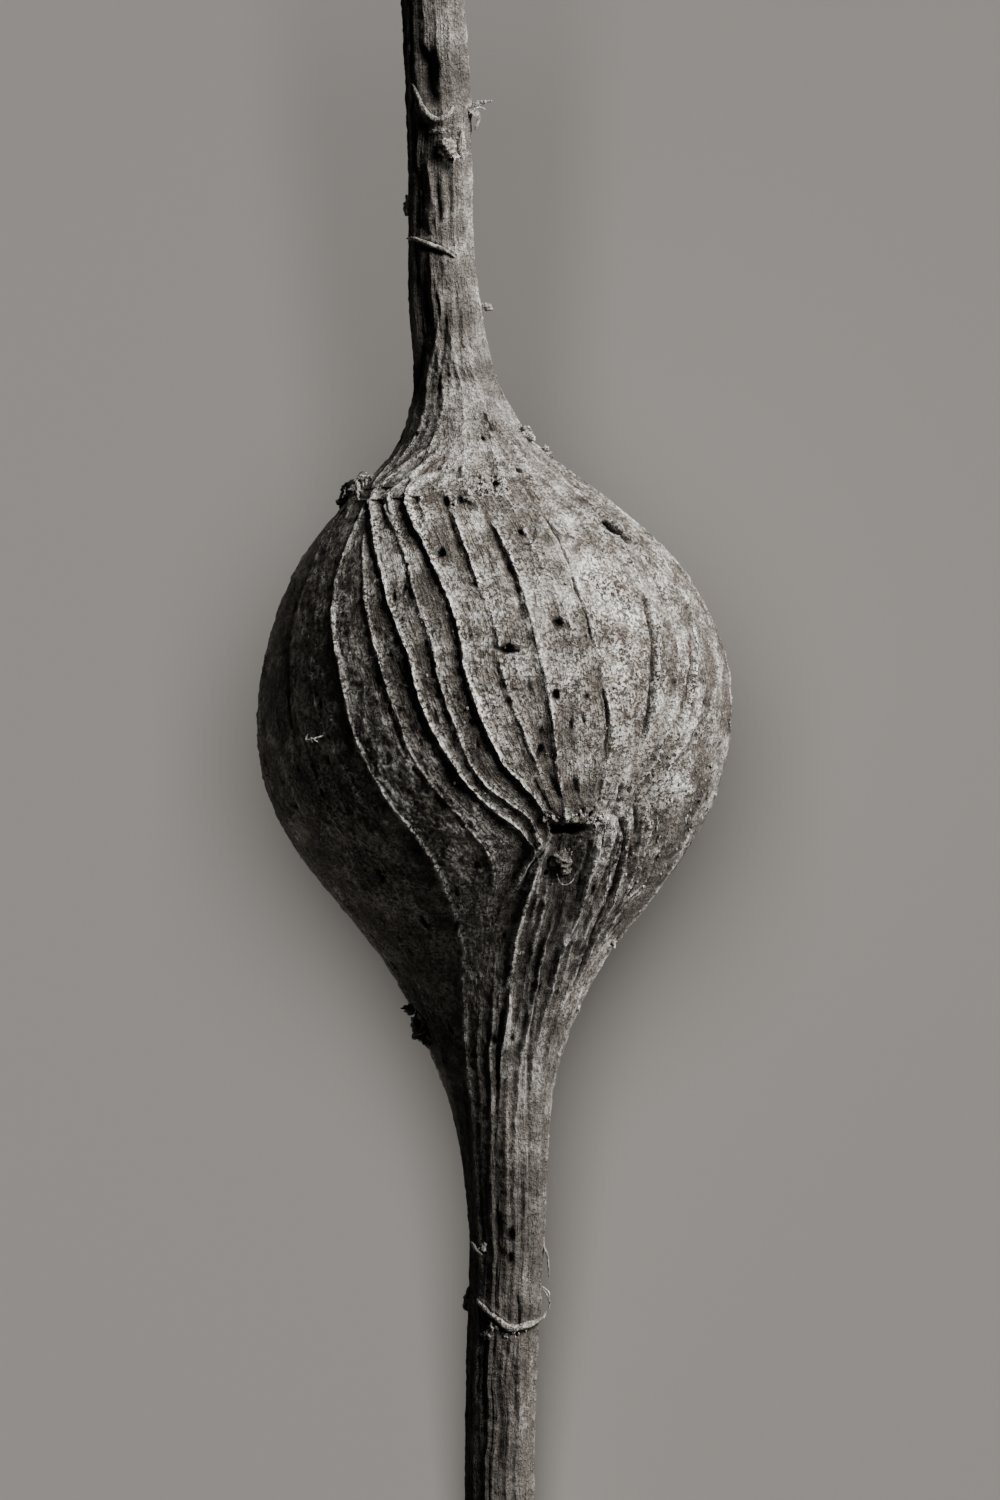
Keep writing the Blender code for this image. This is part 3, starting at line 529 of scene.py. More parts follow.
def formRelief(bearing, height, radius):
    # each form is its rise times e to the minus (distance over half size) to its own power
    total = 0.0
    for middle, level, halfWidth, halfLength, rise, square in forms.values():
        across, along = surfaceSpot(bearing, height, radius, middle, level)
        away = np.hypot(across / halfWidth, along / halfLength)
        total = total + rise * np.exp(-away ** square)
    return total


def strokeRelief(place, height, ragged):
    # rise times e to the minus (distance from the drawn line over half width) squared, less at
    # both ends; the same for the darkness
    total, dark = np.zeros(height.shape), np.zeros(height.shape)
    for half, rise, shade, *line in strokes.values():
        line = list(zip(line[::2], line[1::2]))
        side, level = alongLine(line, drawing["finer"] * len(line))
        radius = smoothThrough(galled["outline"], level)
        away = (side - smoothThrough(galled["sideDrift"], level)) / radius
        away = np.clip(away, -drawing["widest"], drawing["widest"])
        spots = around(np.degrees(np.arcsin(away)), level, radius)
        reach = drawing["reach"] * half
        near = (height > level.min() - reach) & (height < level.max() + reach)
        near &= (place[..., 0] > side.min() - reach) & (place[..., 0] < side.max() + reach)
        near &= place[..., 1] < drawing["behind"]
        if not near.any():
            continue
        points = place[near][:, None, :]
        start, step = spots[:-1], np.diff(spots, axis=0)
        share = np.clip(((points - start) * step).sum(-1) / (step ** 2).sum(-1), 0, 1)
        gaps = np.linalg.norm(points - start - share[..., None] * step, axis=-1)
        best = gaps.argmin(axis=1)
        pick = np.arange(len(best))
        along = (best + share[pick, best]) / len(step)
        taper = np.clip(np.minimum(along, 1 - along) * drawing["taper"], 0, 1)
        taper = taper ** drawing["taperPower"]
        away = gaps[pick, best] / half * (1 + drawing["raggedWidth"] * ragged[near])
        higher = rise * (1 + drawing["raggedRise"] * ragged[near])
        total[near] += drawing["rise"] * higher * taper * np.exp(-away ** 2)
        # the darkness is painted shade
        narrow = np.exp(-(drawing["shadeNarrow"] * away) ** 2)
        dark[near] += drawing["shade"] * shade * taper * narrow
    return total, dark


def slotRelief(bearing, height, radius, ragged):
    # a square-edged cut whose upper edge droops over it, with painted shade inside; ragged moves
    # the edges
    depth, droop, dark = 0.0, 0.0, 0.0
    for middle, level, halfWidth, halfLength, cut, drop in slots.values():
        across, along = surfaceSpot(bearing, height, radius, middle, level)
        upper = along > 0
        along = along + ragged * np.where(upper, slotted["upperRagged"], slotted["lowerRagged"])
        inside = bell(across / halfWidth, along / halfLength, slotted["square"])
        depth, dark = depth + cut * inside, dark + slotted["dark"] * inside
        over = (along / halfLength - slotted["lipAway"]) / slotted["lipHalf"]
        over = np.exp(-over ** 2) * np.exp(-(across / halfWidth) ** slotted["lipSquare"])
        droop = droop + drop * over
    return depth, droop, dark


def pitRelief(bearing, height, radius, ragged):
    # every pit is a turned ellipse with a ragged edge, with painted shade inside
    draw = np.random.default_rng(scattered["seed"])
    count = scattered["count"]
    half = draw.uniform(*scattered["half"], count)
    long = half * draw.uniform(*scattered["stretch"], count)
    spots = np.stack([
        draw.uniform(-180, 180, count), draw.uniform(*scattered["heights"], count), half,
        long, draw.uniform(*scattered["depth"], count),
        draw.uniform(*scattered["tilt"], count)], axis=1)
    depth, dark = 0.0 * bearing, 0.0 * bearing
    rows = height[:, 0] if height.ndim > 1 else height
    for middle, level, halfWidth, halfLength, cut, tilt in [*ownPits.values(), *spots]:
        reach = pitted["reach"] * max(halfWidth, halfLength)
        near = np.flatnonzero(np.abs(rows - level) < reach)
        if len(near) == 0:
            continue
        band = slice(near.min(), near.max() + 1)
        across, along = surfaceSpot(bearing[band], height[band], radius[band], middle, level)
        angle = math.radians(tilt)
        wide = across * math.cos(angle) + along * math.sin(angle)
        tall = along * math.cos(angle) - across * math.sin(angle)
        away = np.hypot(wide / halfWidth, tall / halfLength)
        away = away * (1 + pitted["ragged"] * ragged[band])
        depth[band] += cut * np.exp(-away ** pitted["square"])
        dark[band] += np.exp(-(pitted["darkSize"] * away) ** pitted["darkSquare"])
    return depth, dark


def flakesAt(bearing, height, radius):
    # noise stretched along a slant, without its deep part
    slant = math.radians(surface["flakeSlant"])
    flat = np.radians(bearing) * radius
    slanted = np.stack([
        (flat * math.cos(slant) + height * math.sin(slant)) / surface["flakeLong"],
        height * math.cos(slant) - flat * math.sin(slant), 0 * flat], axis=-1)
    return surface["flake"] * np.clip(grainAt("flake", slanted), *surface["flakeRange"])


def galledSurface(turns, heights, shrink):
    # Columns follow the ribs: a turn is a rib's number and the share of the gap after it. A point
    # is the middle line plus radius and relief at its bearing. shrink is taken off the radius.
    paths, crests = ribPaths(heights), ribCrests(heights)
    rib = np.floor(turns).astype(int) % ribCount
    after = (rib + 1) % ribCount
    share = (turns - np.floor(turns))[None, :]
    here = paths[rib].T
    step = (paths[after].T - here) % 360
    bearing = here + step * share
    radius = smoothThrough(galled["outline"], heights)[:, None] + 0 * bearing
    height = heights[:, None] + 0 * bearing
    place = around(bearing, height, radius)
    onBall = riseBetween(height, *surface["ballLow"])
    onBall = onBall * (1 - riseBetween(height, *surface["ballHigh"]))
    # the flow coordinates run with the ribs, so that strands and fibres do
    angle = 2 * np.pi * turns[None, :] / ribCount + 0 * bearing
    thick = surface["flowStem"] + surface["flowBall"] * onBall
    flow = np.stack([np.cos(angle) * thick, np.sin(angle) * thick, height], axis=-1)

    wander = grainAt("wander", place) + grainAt("wiggle", place)
    wander = wander + grainAt("ripple", place) * onBall
    bearing = bearing + np.degrees(wander / radius)
    spot = bearing, height, radius
    hollow = 1 - riseBetween(height, *ribbing["furrowEnd"])
    relief, dip = ribRelief(share, np.radians(step) * radius, crests[rib].T, crests[after].T,
                            hollow)
    uneven = 1 + grainAt("uneven", flow / surface["unevenStretch"]) + grainAt("bead", place)
    rougher = 1 + sum(bellsOver(roughPlaces, *spot))
    across, along = surfaceSpot(*spot, *galled["restSpot"])
    worn = np.exp(-(np.hypot(across, along) / galled["restReach"]) ** galled["restSquare"])
    worn = 1 - galled["restWear"] * worn
    calm = 1
    for faint in bellsOver(calmed, *spot, surface["calmSquare"]):
        calm = calm * (1 - faint)
    relief, dip = relief * calm, dip * calm

    strands = 1 - np.abs(grainAt("strand", flow / surface["strandStretch"]))
    strands = surface["strand"] * strands * (1 - surface["strandLess"] * onBall)
    crust = grainAt("crust", place) * rougher + grainAt("grain", place)
    flakes = flakesAt(*spot) * (rougher - 1) * onBall
    fine = strands + crust * fromStem(surface["crustStem"], onBall) + flakes
    fine = fine * fromStem(surface["wornLeft"], worn)
    ragged = grainAt("ragged", place)
    cut, droop, slotDark = slotRelief(*spot, ragged)
    holes, pitDark = pitRelief(*spot, ragged)
    drawn, drawnDark = strokeRelief(place, height, ragged)
    total = relief * uneven * worn + fine + grainAt("lump", place) * onBall
    total = total + formRelief(*spot) + drawn - cut - holes - shrink
    points = around(bearing, height - droop, radius + total)

    patchy = grainAt("patch", place)
    stainAndShade = shading["stainPatchy"] * patchy + shading["stainAndShade"]
    stainAndShade = stainAndShade + shading["stainStem"] * (1 - onBall)
    stainAndShade = stainAndShade + sum(bellsOver(stainsAndShade, *spot)) * (1 + shading["stainAndShadeRagged"] * ragged)
    # painted shade at the foot of each rib's steep flank, carried in the stain
    leeShade = shading["leeShade"] * share ** 2 * crests[after].T / shading["leeCrest"] * calm * onBall
    stainAndShade = stainAndShade + leeShade * (1 + shading["leePatchy"] * patchy)
    # crests paler, with less stain, and hollows darker as the relief goes: painted highlight and
    # painted shade
    raised = relief * uneven + drawn
    pale = np.clip(raised / shading["paleRise"], 0, 1) * onBall
    crest = (shading["raised"] * raised + shading["fine"] * fine) * fromStem(
        shading["crestStem"], onBall)
    # painted shade in the furrows; with the drawn creases, slots, pits and deepest stain it makes
    # the dark channel
    furrow = shading["furrow"] * dip * uneven * (1 + shading["furrowPatchy"] * patchy) * onBall
    # stain past its threshold also turns black: painted shade
    paintedDeepShade = shading["paintedDeepShade"] * np.clip(stainAndShade - shading["paintedDeepShadeFrom"], 0, 1)
    speck = shading["speckStem"] + (shading["speckBall"] - shading["speckStem"]) * onBall
    speck = speck + shading["speckRough"] * (rougher - 1)
    speck = speck + shading["speckPatchy"] * patchy * onBall
    looks = {
        "crest": shading["crest"] + crest + grainAt("mottle", place) * onBall,
        "dark": furrow + drawnDark + slotDark + pitDark + paintedDeepShade,
        "stainAndShade": stainAndShade * (1 - shading["paleClean"] * pale), "speck": speck,
    }
    looks = {title: np.clip(values, 0, 1) for title, values in looks.items()}
    looks["flow"] = flow
    return points, looks, bearing, radius + total


def closedTubes(name, points, looks, material):
    # a batch of grids, each closed round its columns and with one point in the middle of each end
    batch, rows, columns = points.shape[:3]
    ends = points[:, [0, -1]].mean(axis=2)
    spots = layDown(np.concatenate([points.reshape(batch, -1, 3), ends], axis=1))
    row, column = np.meshgrid(np.arange(rows - 1), np.arange(columns), indexing="ij")
    beside = (column + 1) % columns
    quads = np.stack([row * columns + column, row * columns + beside,
                      (row + 1) * columns + beside, (row + 1) * columns + column], axis=-1)
    ring, after = np.arange(columns), (np.arange(columns) + 1) % columns
    first = np.stack([after, ring, 0 * ring + rows * columns], axis=-1)
    last = (rows - 1) * columns
    final = np.stack([last + ring, last + after, 0 * ring + rows * columns + 1], axis=-1)
    corners = np.concatenate([quads.ravel(), first.ravel(), final.ravel()])
    starts = np.concatenate([np.arange(quads.size // 4) * 4,
                             quads.size + np.arange(2 * columns) * 3])
    each = np.arange(batch)[:, None]
    corners = corners + each * spots.shape[1]
    starts = starts + each * corners.shape[1]
    mesh = bpy.data.meshes.new(name)
    mesh.vertices.add(spots.size // 3)
    mesh.vertices.foreach_set("co", spots.astype(np.float32).ravel())
    mesh.loops.add(corners.size)
    mesh.loops.foreach_set("vertex_index", corners.astype(np.int32).ravel())
    mesh.polygons.add(starts.size)
    mesh.polygons.foreach_set("loop_start", starts.astype(np.int32).ravel())
    mesh.update(calc_edges=True)
    for title, values in looks.items():
        flat = values.reshape(batch, rows * columns, -1)
        flat = np.concatenate([flat, flat[:, :1], flat[:, -1:]], axis=1)
        vector = flat.shape[2] == 3
        layer = mesh.attributes.new(title, "FLOAT_VECTOR" if vector else "FLOAT", "POINT")
        layer.data.foreach_set("vector" if vector else "value", flat.astype(np.float32).ravel())
    mesh.shade_smooth()
    mesh.materials.append(material)
    piece = bpy.data.objects.new(name, mesh)
    bpy.context.scene.collection.objects.link(piece)
    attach(piece, "root")
    return piece


def spreadRows(low, high, rows, crowds):
    # rows placed by a running total of closeness: one, plus a bump at each crowded height
    fine = np.linspace(low, high, 4000)
    close = 1.0 + sum(extra * np.exp(-((fine - level) / width) ** 2)
                      for level, width, extra in crowds)
    total = np.concatenate([[0.0], np.cumsum((close[1:] + close[:-1]) / 2)])
    return np.interp(np.linspace(0, total[-1], rows), total, fine)


def spreadTurns(first, last, perGap, crowd):
    # columns from one turn to another, closer together at a crest and the furrow beside it
    even = np.linspace(first, last, int(round((last - first) * perGap)) + 1)
    return even - crowd * np.sin(2 * np.pi * even) / (2 * np.pi)


# The gall in five closed lengths and sectors. Their edges sink under one another by a hair.
# A sector runs between two turns, and its sides go in to the middle line.
lengths = {
    "gallFront": {"from": -19, "to": 14.6, "rows": 322, "turns": (-0.5, 7.88), "perGap": 33.5,
                  "crowd": 0.5, "sink": (-18.55, 14.15), "under": None},
    "gallRight": {"from": -19, "to": 14.6, "rows": 322, "turns": (7.78, 14.5), "perGap": 41.5,
                  "crowd": 0.4, "sink": (-18.55, 14.15), "under": (7.88, 99)},
    "gallBack": {"from": -19, "to": 14.6, "rows": 240, "turns": (14.4, 25.6), "perGap": 17,
                 "crowd": 0.55, "sink": (-18.55, 14.15), "under": (14.5, 25.5)},
    "lowerStem": {"from": -50, "to": -18.1, "rows": 460, "turns": (0, 26), "perGap": 6,
                  "crowd": 0.3, "sink": (None, -18.45), "under": None},
    "upperStem": {"from": 13.7, "to": 44, "rows": 440, "turns": (0, 26), "perGap": 6,
                  "crowd": 0.3, "sink": (14.05, None), "under": None},
}
sinking = {"slope": 0.3, "deep": 0.3, "side": 0.25, "early": 0.08}
closing = {                              # shares of the way out, ring by ring or column by column
    "ends": np.array([0.985, 0.93, 0.75, 0.5, 0.25])[:, None, None],
    "sides": np.array([0.96, 0.75, 0.45, 0.15])[None, :, None],
}
crowded = [(-7, 2.2, 1.3), (12, 2.5, 0.5)]   # rows lie closer at: height, width, how much more


def sinkUnder(rows, turns, ends, sides):
    # past its edge a piece sinks at an even slope, so it passes under its neighbour
    past = np.zeros((len(rows), len(turns)))
    if ends[0] is not None:
        past = np.maximum(past, sinking["slope"] * (ends[0] - rows)[:, None])
    if ends[1] is not None:
        past = np.maximum(past, sinking["slope"] * (rows - ends[1])[:, None])
    if sides is not None:
        outside = np.maximum(sides[0] + sinking["early"] - turns, 0)
        outside = outside + np.maximum(turns - sides[1] + sinking["early"], 0)
        past = past + sinking["side"] * outside[None, :]
    return np.clip(past, 0.0, sinking["deep"])


def closedSides(points, looks, rows):
    # a sector's two sides: its edge columns drawn in towards the middle line and back out
    inward = closing["sides"]
    middle = axisPoint(rows)[:, None, :]
    near = middle + (points[:, -1:] - middle) * inward
    far = middle + (points[:, :1] - middle) * inward[:, ::-1]
    more = inward.size
    looks = {title: np.concatenate([v, np.repeat(v[:, -1:], more, 1),
                                    np.repeat(v[:, :1], more, 1)], 1)
             for title, v in looks.items()}
    return np.concatenate([points, near, far], axis=1), looks


def makeLength(name, sizes, material):
    # rows of the surface from end to end, then rings that close each end towards the middle
    rows = spreadRows(sizes["from"], sizes["to"], sizes["rows"], crowded)
    turns = spreadTurns(*sizes["turns"], sizes["perGap"], sizes["crowd"])
    whole = sizes["turns"][1] - sizes["turns"][0] == ribCount
    if whole:
        turns = turns[:-1]
    shrink = sinkUnder(rows, turns, sizes["sink"], sizes["under"])
    points, looks = galledSurface(turns, rows, shrink)[:2]
    if not whole:
        points, looks = closedSides(points, looks, rows)
    ends = []
    for row in (0, -1):
        middle = points[row].mean(axis=0)
        ends.append(middle + (points[row][None] - middle) * closing["ends"])
    points = np.concatenate([ends[0][::-1], points, ends[1]])
    more = len(closing["ends"])
    looks = {title: np.concatenate([np.repeat(v[:1], more, 0), v,
                                    np.repeat(v[-1:], more, 0)])[None]
             for title, v in looks.items()}
    piece = closedTubes(name, points[None], looks, material)
    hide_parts("stem_gall")
    return piece


# The finished skin as a table of radius by height and whole degree, for what stands on it.
skinned = {"rows": 700, "perGap": 8, "bearings": 720}


def skinTable():
    # each row's radius at even bearings, read between the columns of the surface
    rows = np.linspace(galled["lowerEnd"], galled["upperEnd"], skinned["rows"])
    turns = spreadTurns(0.0, ribCount, skinned["perGap"], 0.5)[:-1]
    bearing, radius = galledSurface(turns, rows, np.zeros((len(rows), len(turns))))[2:]
    even = np.linspace(-180.0, 180.0, skinned["bearings"], endpoint=False)
    return np.stack([np.interp(even, b, r, period=360.0) for b, r in zip(bearing, radius)])


skin = skinTable()


def skinRadius(bearing, height):
    # the table's nearest row and column, averaged with their neighbours
    share = (height - galled["lowerEnd"]) / (galled["upperEnd"] - galled["lowerEnd"])
    row = np.clip(np.round(share * (skinned["rows"] - 1)).astype(int), 1, skinned["rows"] - 2)
    column = np.round((bearing + 180.0) / 360.0 * skinned["bearings"]).astype(int)
    near = [skin[row + down, (column + beside) % skinned["bearings"]]
            for down in (-1, 0, 1) for beside in (-4, 0, 4)]
    return np.mean(near, axis=0)


# Nubs that stand on the surface: bearing, height, half size out, across and along, lumpiness.
nubs = {
    "leftScarKnob": (-84, 11, 0.62, 0.75, 0.46, 0.5),
    "leftScarTip": (-80, 11.6, 0.62, 0.34, 0.26, 0.6),
    "leftScarLow": (-88, 10.4, 0.4, 0.4, 0.4, 0.6),
    "rightShoulderKnob": (72, 14, 0.5, 0.42, 0.46, 0.45),
    "rightShoulderLow": (78, 13, 0.34, 0.32, 0.4, 0.45),
    "lowerLeftKnob": (-76, -17.3, 0.66, 0.58, 0.82, 0.6),
    "lowerLeftTip": (-80, -16.3, 0.62, 0.3, 0.26, 0.6),
    "nodeBud": (13, 29.1, 0.5, 0.5, 0.52, 0.22),
    "nodeBudSide": (42, 29.4, 0.34, 0.3, 0.8, 0.25),
    "nodeBudLow": (27, 28.55, 0.28, 0.34, 0.26, 0.35),
    "nodeBudHigh": (2, 30, 0.24, 0.46, 0.22, 0.35),
    "leftOfStem": (-85, 26.2, 0.4, 0.4, 0.6, 0.45),
    "rightStub": (86, 20.8, 0.7, 0.2, 0.24, 0.35),
    "lowerStubKnob": (-40, -28.9, 0.3, 0.24, 0.3, 0.4),
    "collarKnob": (-84, -31.8, 0.4, 0.45, 0.72, 0.4),
    "underCollarOne": (-24, -33.5, 0.2, 0.3, 0.26, 0.5),
    "underCollarTwo": (8, -33.5, 0.16, 0.26, 0.3, 0.5),
    "scarBud": (21.8, -8.05, 0.32, 0.56, 0.56, 0.5),
    "scarBudLow": (24, -8.7, 0.3, 0.38, 0.32, 0.5),
    "slotBlob": (29.6, -6.25, 0.28, 0.34, 0.34, 0.6),
    "rightEdgeBump": (82, -5, 0.2, 0.2, 0.26, 0.4),
    "lowRightFlap": (74, -12.7, 0.28, 0.28, 0.42, 0.6),
    "lowRightBump": (80, -16.3, 0.2, 0.18, 0.22, 0.4),
}
nubbed = {"rows": 26, "columns": 34, "seed": 51, "sunk": 0.1,
          "stained": {"scarBud": 0.85, "scarBudLow": 0.8, "slotBlob": 0}}
egged = {"open": 0.1, "apart": 9, "lumps": (0.85, 3, 0.6), "crest": 0.5, "crestLump": 0.45,
         "dark": -0.75, "darkLump": -1.6, "stainAndShade": 0.24, "speck": 0.7}


def plainLooks(values, crest, dark, stainAndShade, speck, flow):
    # a piece's looks, each held between nought and one and as large as the values
    looks = {"crest": crest, "dark": dark, "stainAndShade": stainAndShade, "speck": speck}
    looks = {title: np.clip(look + 0 * values, 0, 1) for title, look in looks.items()}
    return {**looks, "flow": flow}


def eggs(places, sizes, lumps, rows, columns, seed, stainAndShade=egged["stainAndShade"]):
    # a batch of eggs: unit sphere times one plus lumpy noise, scaled out, across and along
    bearing, height, lift = (np.array(v, dtype=float)[:, None, None] for v in zip(*places))
    tall = np.linspace(egged["open"], np.pi - egged["open"], rows)[None, :, None]
    turn = (2 * np.pi * np.arange(columns) / columns)[None, None, :]
    out, across = -np.sin(tall) * np.cos(turn), np.sin(tall) * np.sin(turn)
    unit = np.stack([out, across, -np.cos(tall) + 0 * turn], axis=-1)
    shift = egged["apart"] * np.arange(len(places))[:, None, None, None]
    size, octaves, keep = egged["lumps"]
    lumpy = roughAt(unit + shift, size, seed, octaves, keep)
    grown = 1 + np.array(lumps)[:, None, None] * lumpy
    half = np.array(sizes)[:, None, None, :]
    out, across, along = np.moveaxis(unit * half * grown[..., None], -1, 0)
    angle = np.radians(bearing)
    radius = skinRadius(bearing, height) + lift + out
    spots = axisPoint(height) + np.stack([
        np.sin(angle) * radius + np.cos(angle) * across,
        -np.cos(angle) * radius + np.sin(angle) * across, along], axis=-1)
    # paler on the lumps and darker in the dents between them: painted highlight and painted shade
    return spots, plainLooks(
        lumpy, egged["crest"] + egged["crestLump"] * lumpy,
        egged["dark"] + egged["darkLump"] * lumpy, stainAndShade, egged["speck"], spots)


def makeNubs(material):
    # one egg each, sunk a little into the skin
    for number, (name, (bearing, height, *half, lump)) in enumerate(nubs.items()):
        points, looks = eggs([(bearing, height, -nubbed["sunk"])], [half], [lump],
                             nubbed["rows"], nubbed["columns"], nubbed["seed"] + 7 * number,
                             nubbed["stained"].get(name, egged["stainAndShade"]))
        closedTubes(name, points, looks, material)


# Crumbs in clusters: bearing, height, spread across and along, count, half size from and to.
crumbs = {
    "slotLip": (20.6, -6.16, 1.2, 0.3, 190, 0.04, 0.13),
    "slotBlob": (30, -6.3, 0.3, 0.35, 26, 0.05, 0.12),
    "scarBud": (22.5, -8.1, 0.5, 0.6, 22, 0.03, 0.08),
    "leftScar": (-74, 11.4, 0.8, 0.4, 26, 0.05, 0.16),
    "nodeBud": (24, 29.3, 0.5, 0.6, 10, 0.05, 0.11),
    "collar": (-5, -33.2, 1.3, 0.35, 24, 0.05, 0.15),
    "shoulder": (7, 10.9, 2.6, 0.8, 34, 0.05, 0.14),
    "lowerRight": (58, -5, 4.5, 4, 150, 0.04, 0.12),
    "overBall": (20, 0, 16, 9, 260, 0.03, 0.08),
    "overBack": (180, 0, 22, 9, 240, 0.03, 0.09),
    "backScar": (158, 2.5, 1.2, 0.35, 30, 0.04, 0.12),
    "leftLowScar": (-118, -6.5, 1.2, 0.35, 30, 0.04, 0.12),
    "lowerLeft": (-74, -17, 0.9, 0.9, 20, 0.05, 0.14),
}
crumbed = {"rows": 5, "columns": 7, "seed": 77, "flat": 0.55, "lump": 0.5, "lift": 0.3,
           "spread": 0.5, "farthest": 1.2, "long": (0.8, 1.8)}


def makeCrumbs(material):
    # each lies a normal draw away from its cluster's middle; small ones are the most common
    draw = np.random.default_rng(crumbed["seed"])
    farthest = crumbed["farthest"]
    places, sizes = [], []
    for bearing, height, across, along, count, least, most in crumbs.values():
        drift = np.clip(draw.normal(0, crumbed["spread"], count), -farthest, farthest)
        level = height + drift * along
        radius = smoothThrough(galled["outline"], level)
        drift = np.clip(draw.normal(0, crumbed["spread"], count), -farthest, farthest)
        away = np.degrees(drift * across / radius)
        half = least + (most - least) * draw.random(count) ** 2
        long = half * draw.uniform(*crumbed["long"], count)
        places += list(zip(bearing + away, level, crumbed["lift"] * half))
        sizes += list(zip(half * crumbed["flat"], half, long))
    points, looks = eggs(places, sizes, [crumbed["lump"]] * len(places), crumbed["rows"],
                         crumbed["columns"], crumbed["seed"])
    closedTubes("crumbs", points, looks, material)


# Papery strips: half width, half thickness, then bearing, height and lift along the middle.
strips = {
    "collarLipStrip": (0.17, 0.11, [(-50, -31.6, 0), (-38, -31.9, 0.06), (-14, -32.5, 0.1),
        (8, -33.1, 0.12), (32, -33, 0.1), (62, -32.8, 0.1), (88, -32.4, 0.32)]),
    "looseHigh": (0.22, 0.06, [(82, -28.7, -0.05), (86, -29.5, 0.25), (88, -30.6, 0.38)]),
    "looseLow": (0.12, 0.05, [(84, -31.2, 0.1), (88, -31.8, 0.4), (86, -32.4, 0.36)]),
    "lowerStubStrip": (0.12, 0.08, [(-62, -28.6, 0.15), (-50, -28.9, 0.25), (-38, -29.3, 0.12)]),
    "nodeRimStrip": (0.15, 0.12, [(-50, 32.5, 0.05), (-36, 31.9, 0.14), (-20, 31, 0.2),
        (-3, 30.5, 0.22), (14, 30.8, 0.16), (24, 31.3, 0.04)]),
    "nodeTip": (0.16, 0.05, [(50, 31.2, -0.1), (75, 31.5, 0.25), (84, 31.7, 1.15)]),
    "nodePaper": (0.24, 0.04, [(62, 31.2, 0.02), (74, 30.8, 0.42), (70, 30.1, 0.22)]),
    "nodeRingStrip": (0.13, 0.11, [(-72, 24.4, 0.12), (-44, 24.3, 0.14), (-20, 24, 0.16),
        (4, 23.7, 0.1), (24, 23.3, 0.02)]),
    "leftHookStrip": (0.13, 0.12, [(-84, 10.3, 0.3), (-82, 11.2, 0.75), (-76, 11.5, 0.7),
        (-68, 11.1, 0.35), (-62, 10.4, 0.05)]),
    "backCollarStrip": (0.12, 0.07, [(120, -32.3, 0.1), (160, -32.9, 0.18), (200, -33, 0.2),
        (235, -32.4, 0.1)]),
    "slotLipStrip": (0.16, 0.1, [(14.5, -6.15, 0.05), (18.5, -6.25, 0.15), (22, -6.2, 0.16),
        (25.5, -6.3, 0.1), (28, -6.2, 0)]),
}
# Loose fibres: half thickness, darkness, then bearing, height and lift.
fibres = {
    "white": (0.055, 0, [(-49, -1.8, 0.15), (-47, -2.15, 0.7), (-44.5, -2.1, 0.85),
        (-42.5, -1.9, 0.4)]),
    "whiteShort": (0.05, 0, [(-47.5, -2.3, 0.15), (-45.5, -2.05, 0.65), (-44, -2.25, 0.45)]),
    "darkCurl": (0.04, 0.9, [(17.5, 8.95, 0.02), (16.8, 8.5, 0.14), (14.3, 8, 0.16),
        (12, 7.95, 0.05)]),
    "budCurl": (0.028, 0.55, [(20.4, -9, 0.45), (21.6, -9.45, 0.6), (23.4, -9.6, 0.62),
        (25.6, -9.4, 0.5), (26.6, -9, 0.35)]),
    "lipHair": (0.03, 0, [(27, -6.2, 0.05), (28, -6.6, 0.3), (27.5, -6.9, 0.25)]),
    "collarHair": (0.035, 0, [(70, -31, 0.05), (80, -31.4, 0.45), (86, -31.9, 0.3)]),
    "nodeHair": (0.035, 0, [(60, 30.9, 0.05), (70, 31.3, 0.5), (76, 31.2, 0.8)]),
    "rimHair": (0.03, 0, [(-76, 11.5, 0.6), (-72, 12, 0.9), (-68, 11.9, 0.7)]),
    "backHair": (0.035, 0, [(170, 6, 0.03), (173, 5.4, 0.25), (178, 5.2, 0.15)]),
}
stripped = {"rows": 34, "columns": 12, "fibreRows": 14, "fibreColumns": 6, "seed": 63,
            "end": 0.12, "taperPower": 0.5, "ragged": 0.35, "raggedSize": 0.5, "rough": 0.02,
            "roughSize": 0.3, "lumpSize": 0.4, "crest": 0.52, "crestLump": 0.3, "stainAndShade": 0.45,
            "speck": 0.5, "fibreCrest": 0.75}


def ribbon(line, halfWide, halfThick, rows, columns, seed):
    # an oval carried along a line: across it the half width, outwards the half thickness
    bearing, height, lift = alongLine(line, rows)
    middle = around(bearing, height, skinRadius(bearing, height) + lift)
    ahead = np.gradient(middle, axis=0)
    ahead = ahead / np.linalg.norm(ahead, axis=-1, keepdims=True)
    angle = np.radians(bearing)
    out = np.stack([np.sin(angle), -np.cos(angle), 0.0 * angle], axis=-1)
    out = out - (out * ahead).sum(-1, keepdims=True) * ahead
    out = out / np.linalg.norm(out, axis=-1, keepdims=True)
    across = np.cross(out, ahead)
    share = np.linspace(0, 1, rows)
    taper = stripped["end"] + (1 - stripped["end"]) * (
        np.sin(np.pi * share) ** stripped["taperPower"])
    turn = (2 * np.pi * np.arange(columns) / columns)[None, :, None]
    ragged = roughAt(middle, stripped["raggedSize"], seed, 2)
    ragged = (1 + stripped["ragged"] * ragged)[:, None, None]
    ring = (across[:, None] * np.cos(turn) * halfWide * ragged
            + out[:, None] * np.sin(turn) * halfThick)
    points = middle[:, None] + ring * taper[:, None, None]
    rough = noiseAt(points, stripped["roughSize"], seed)
    return points + stripped["rough"] * rough[..., None] * out[:, None]


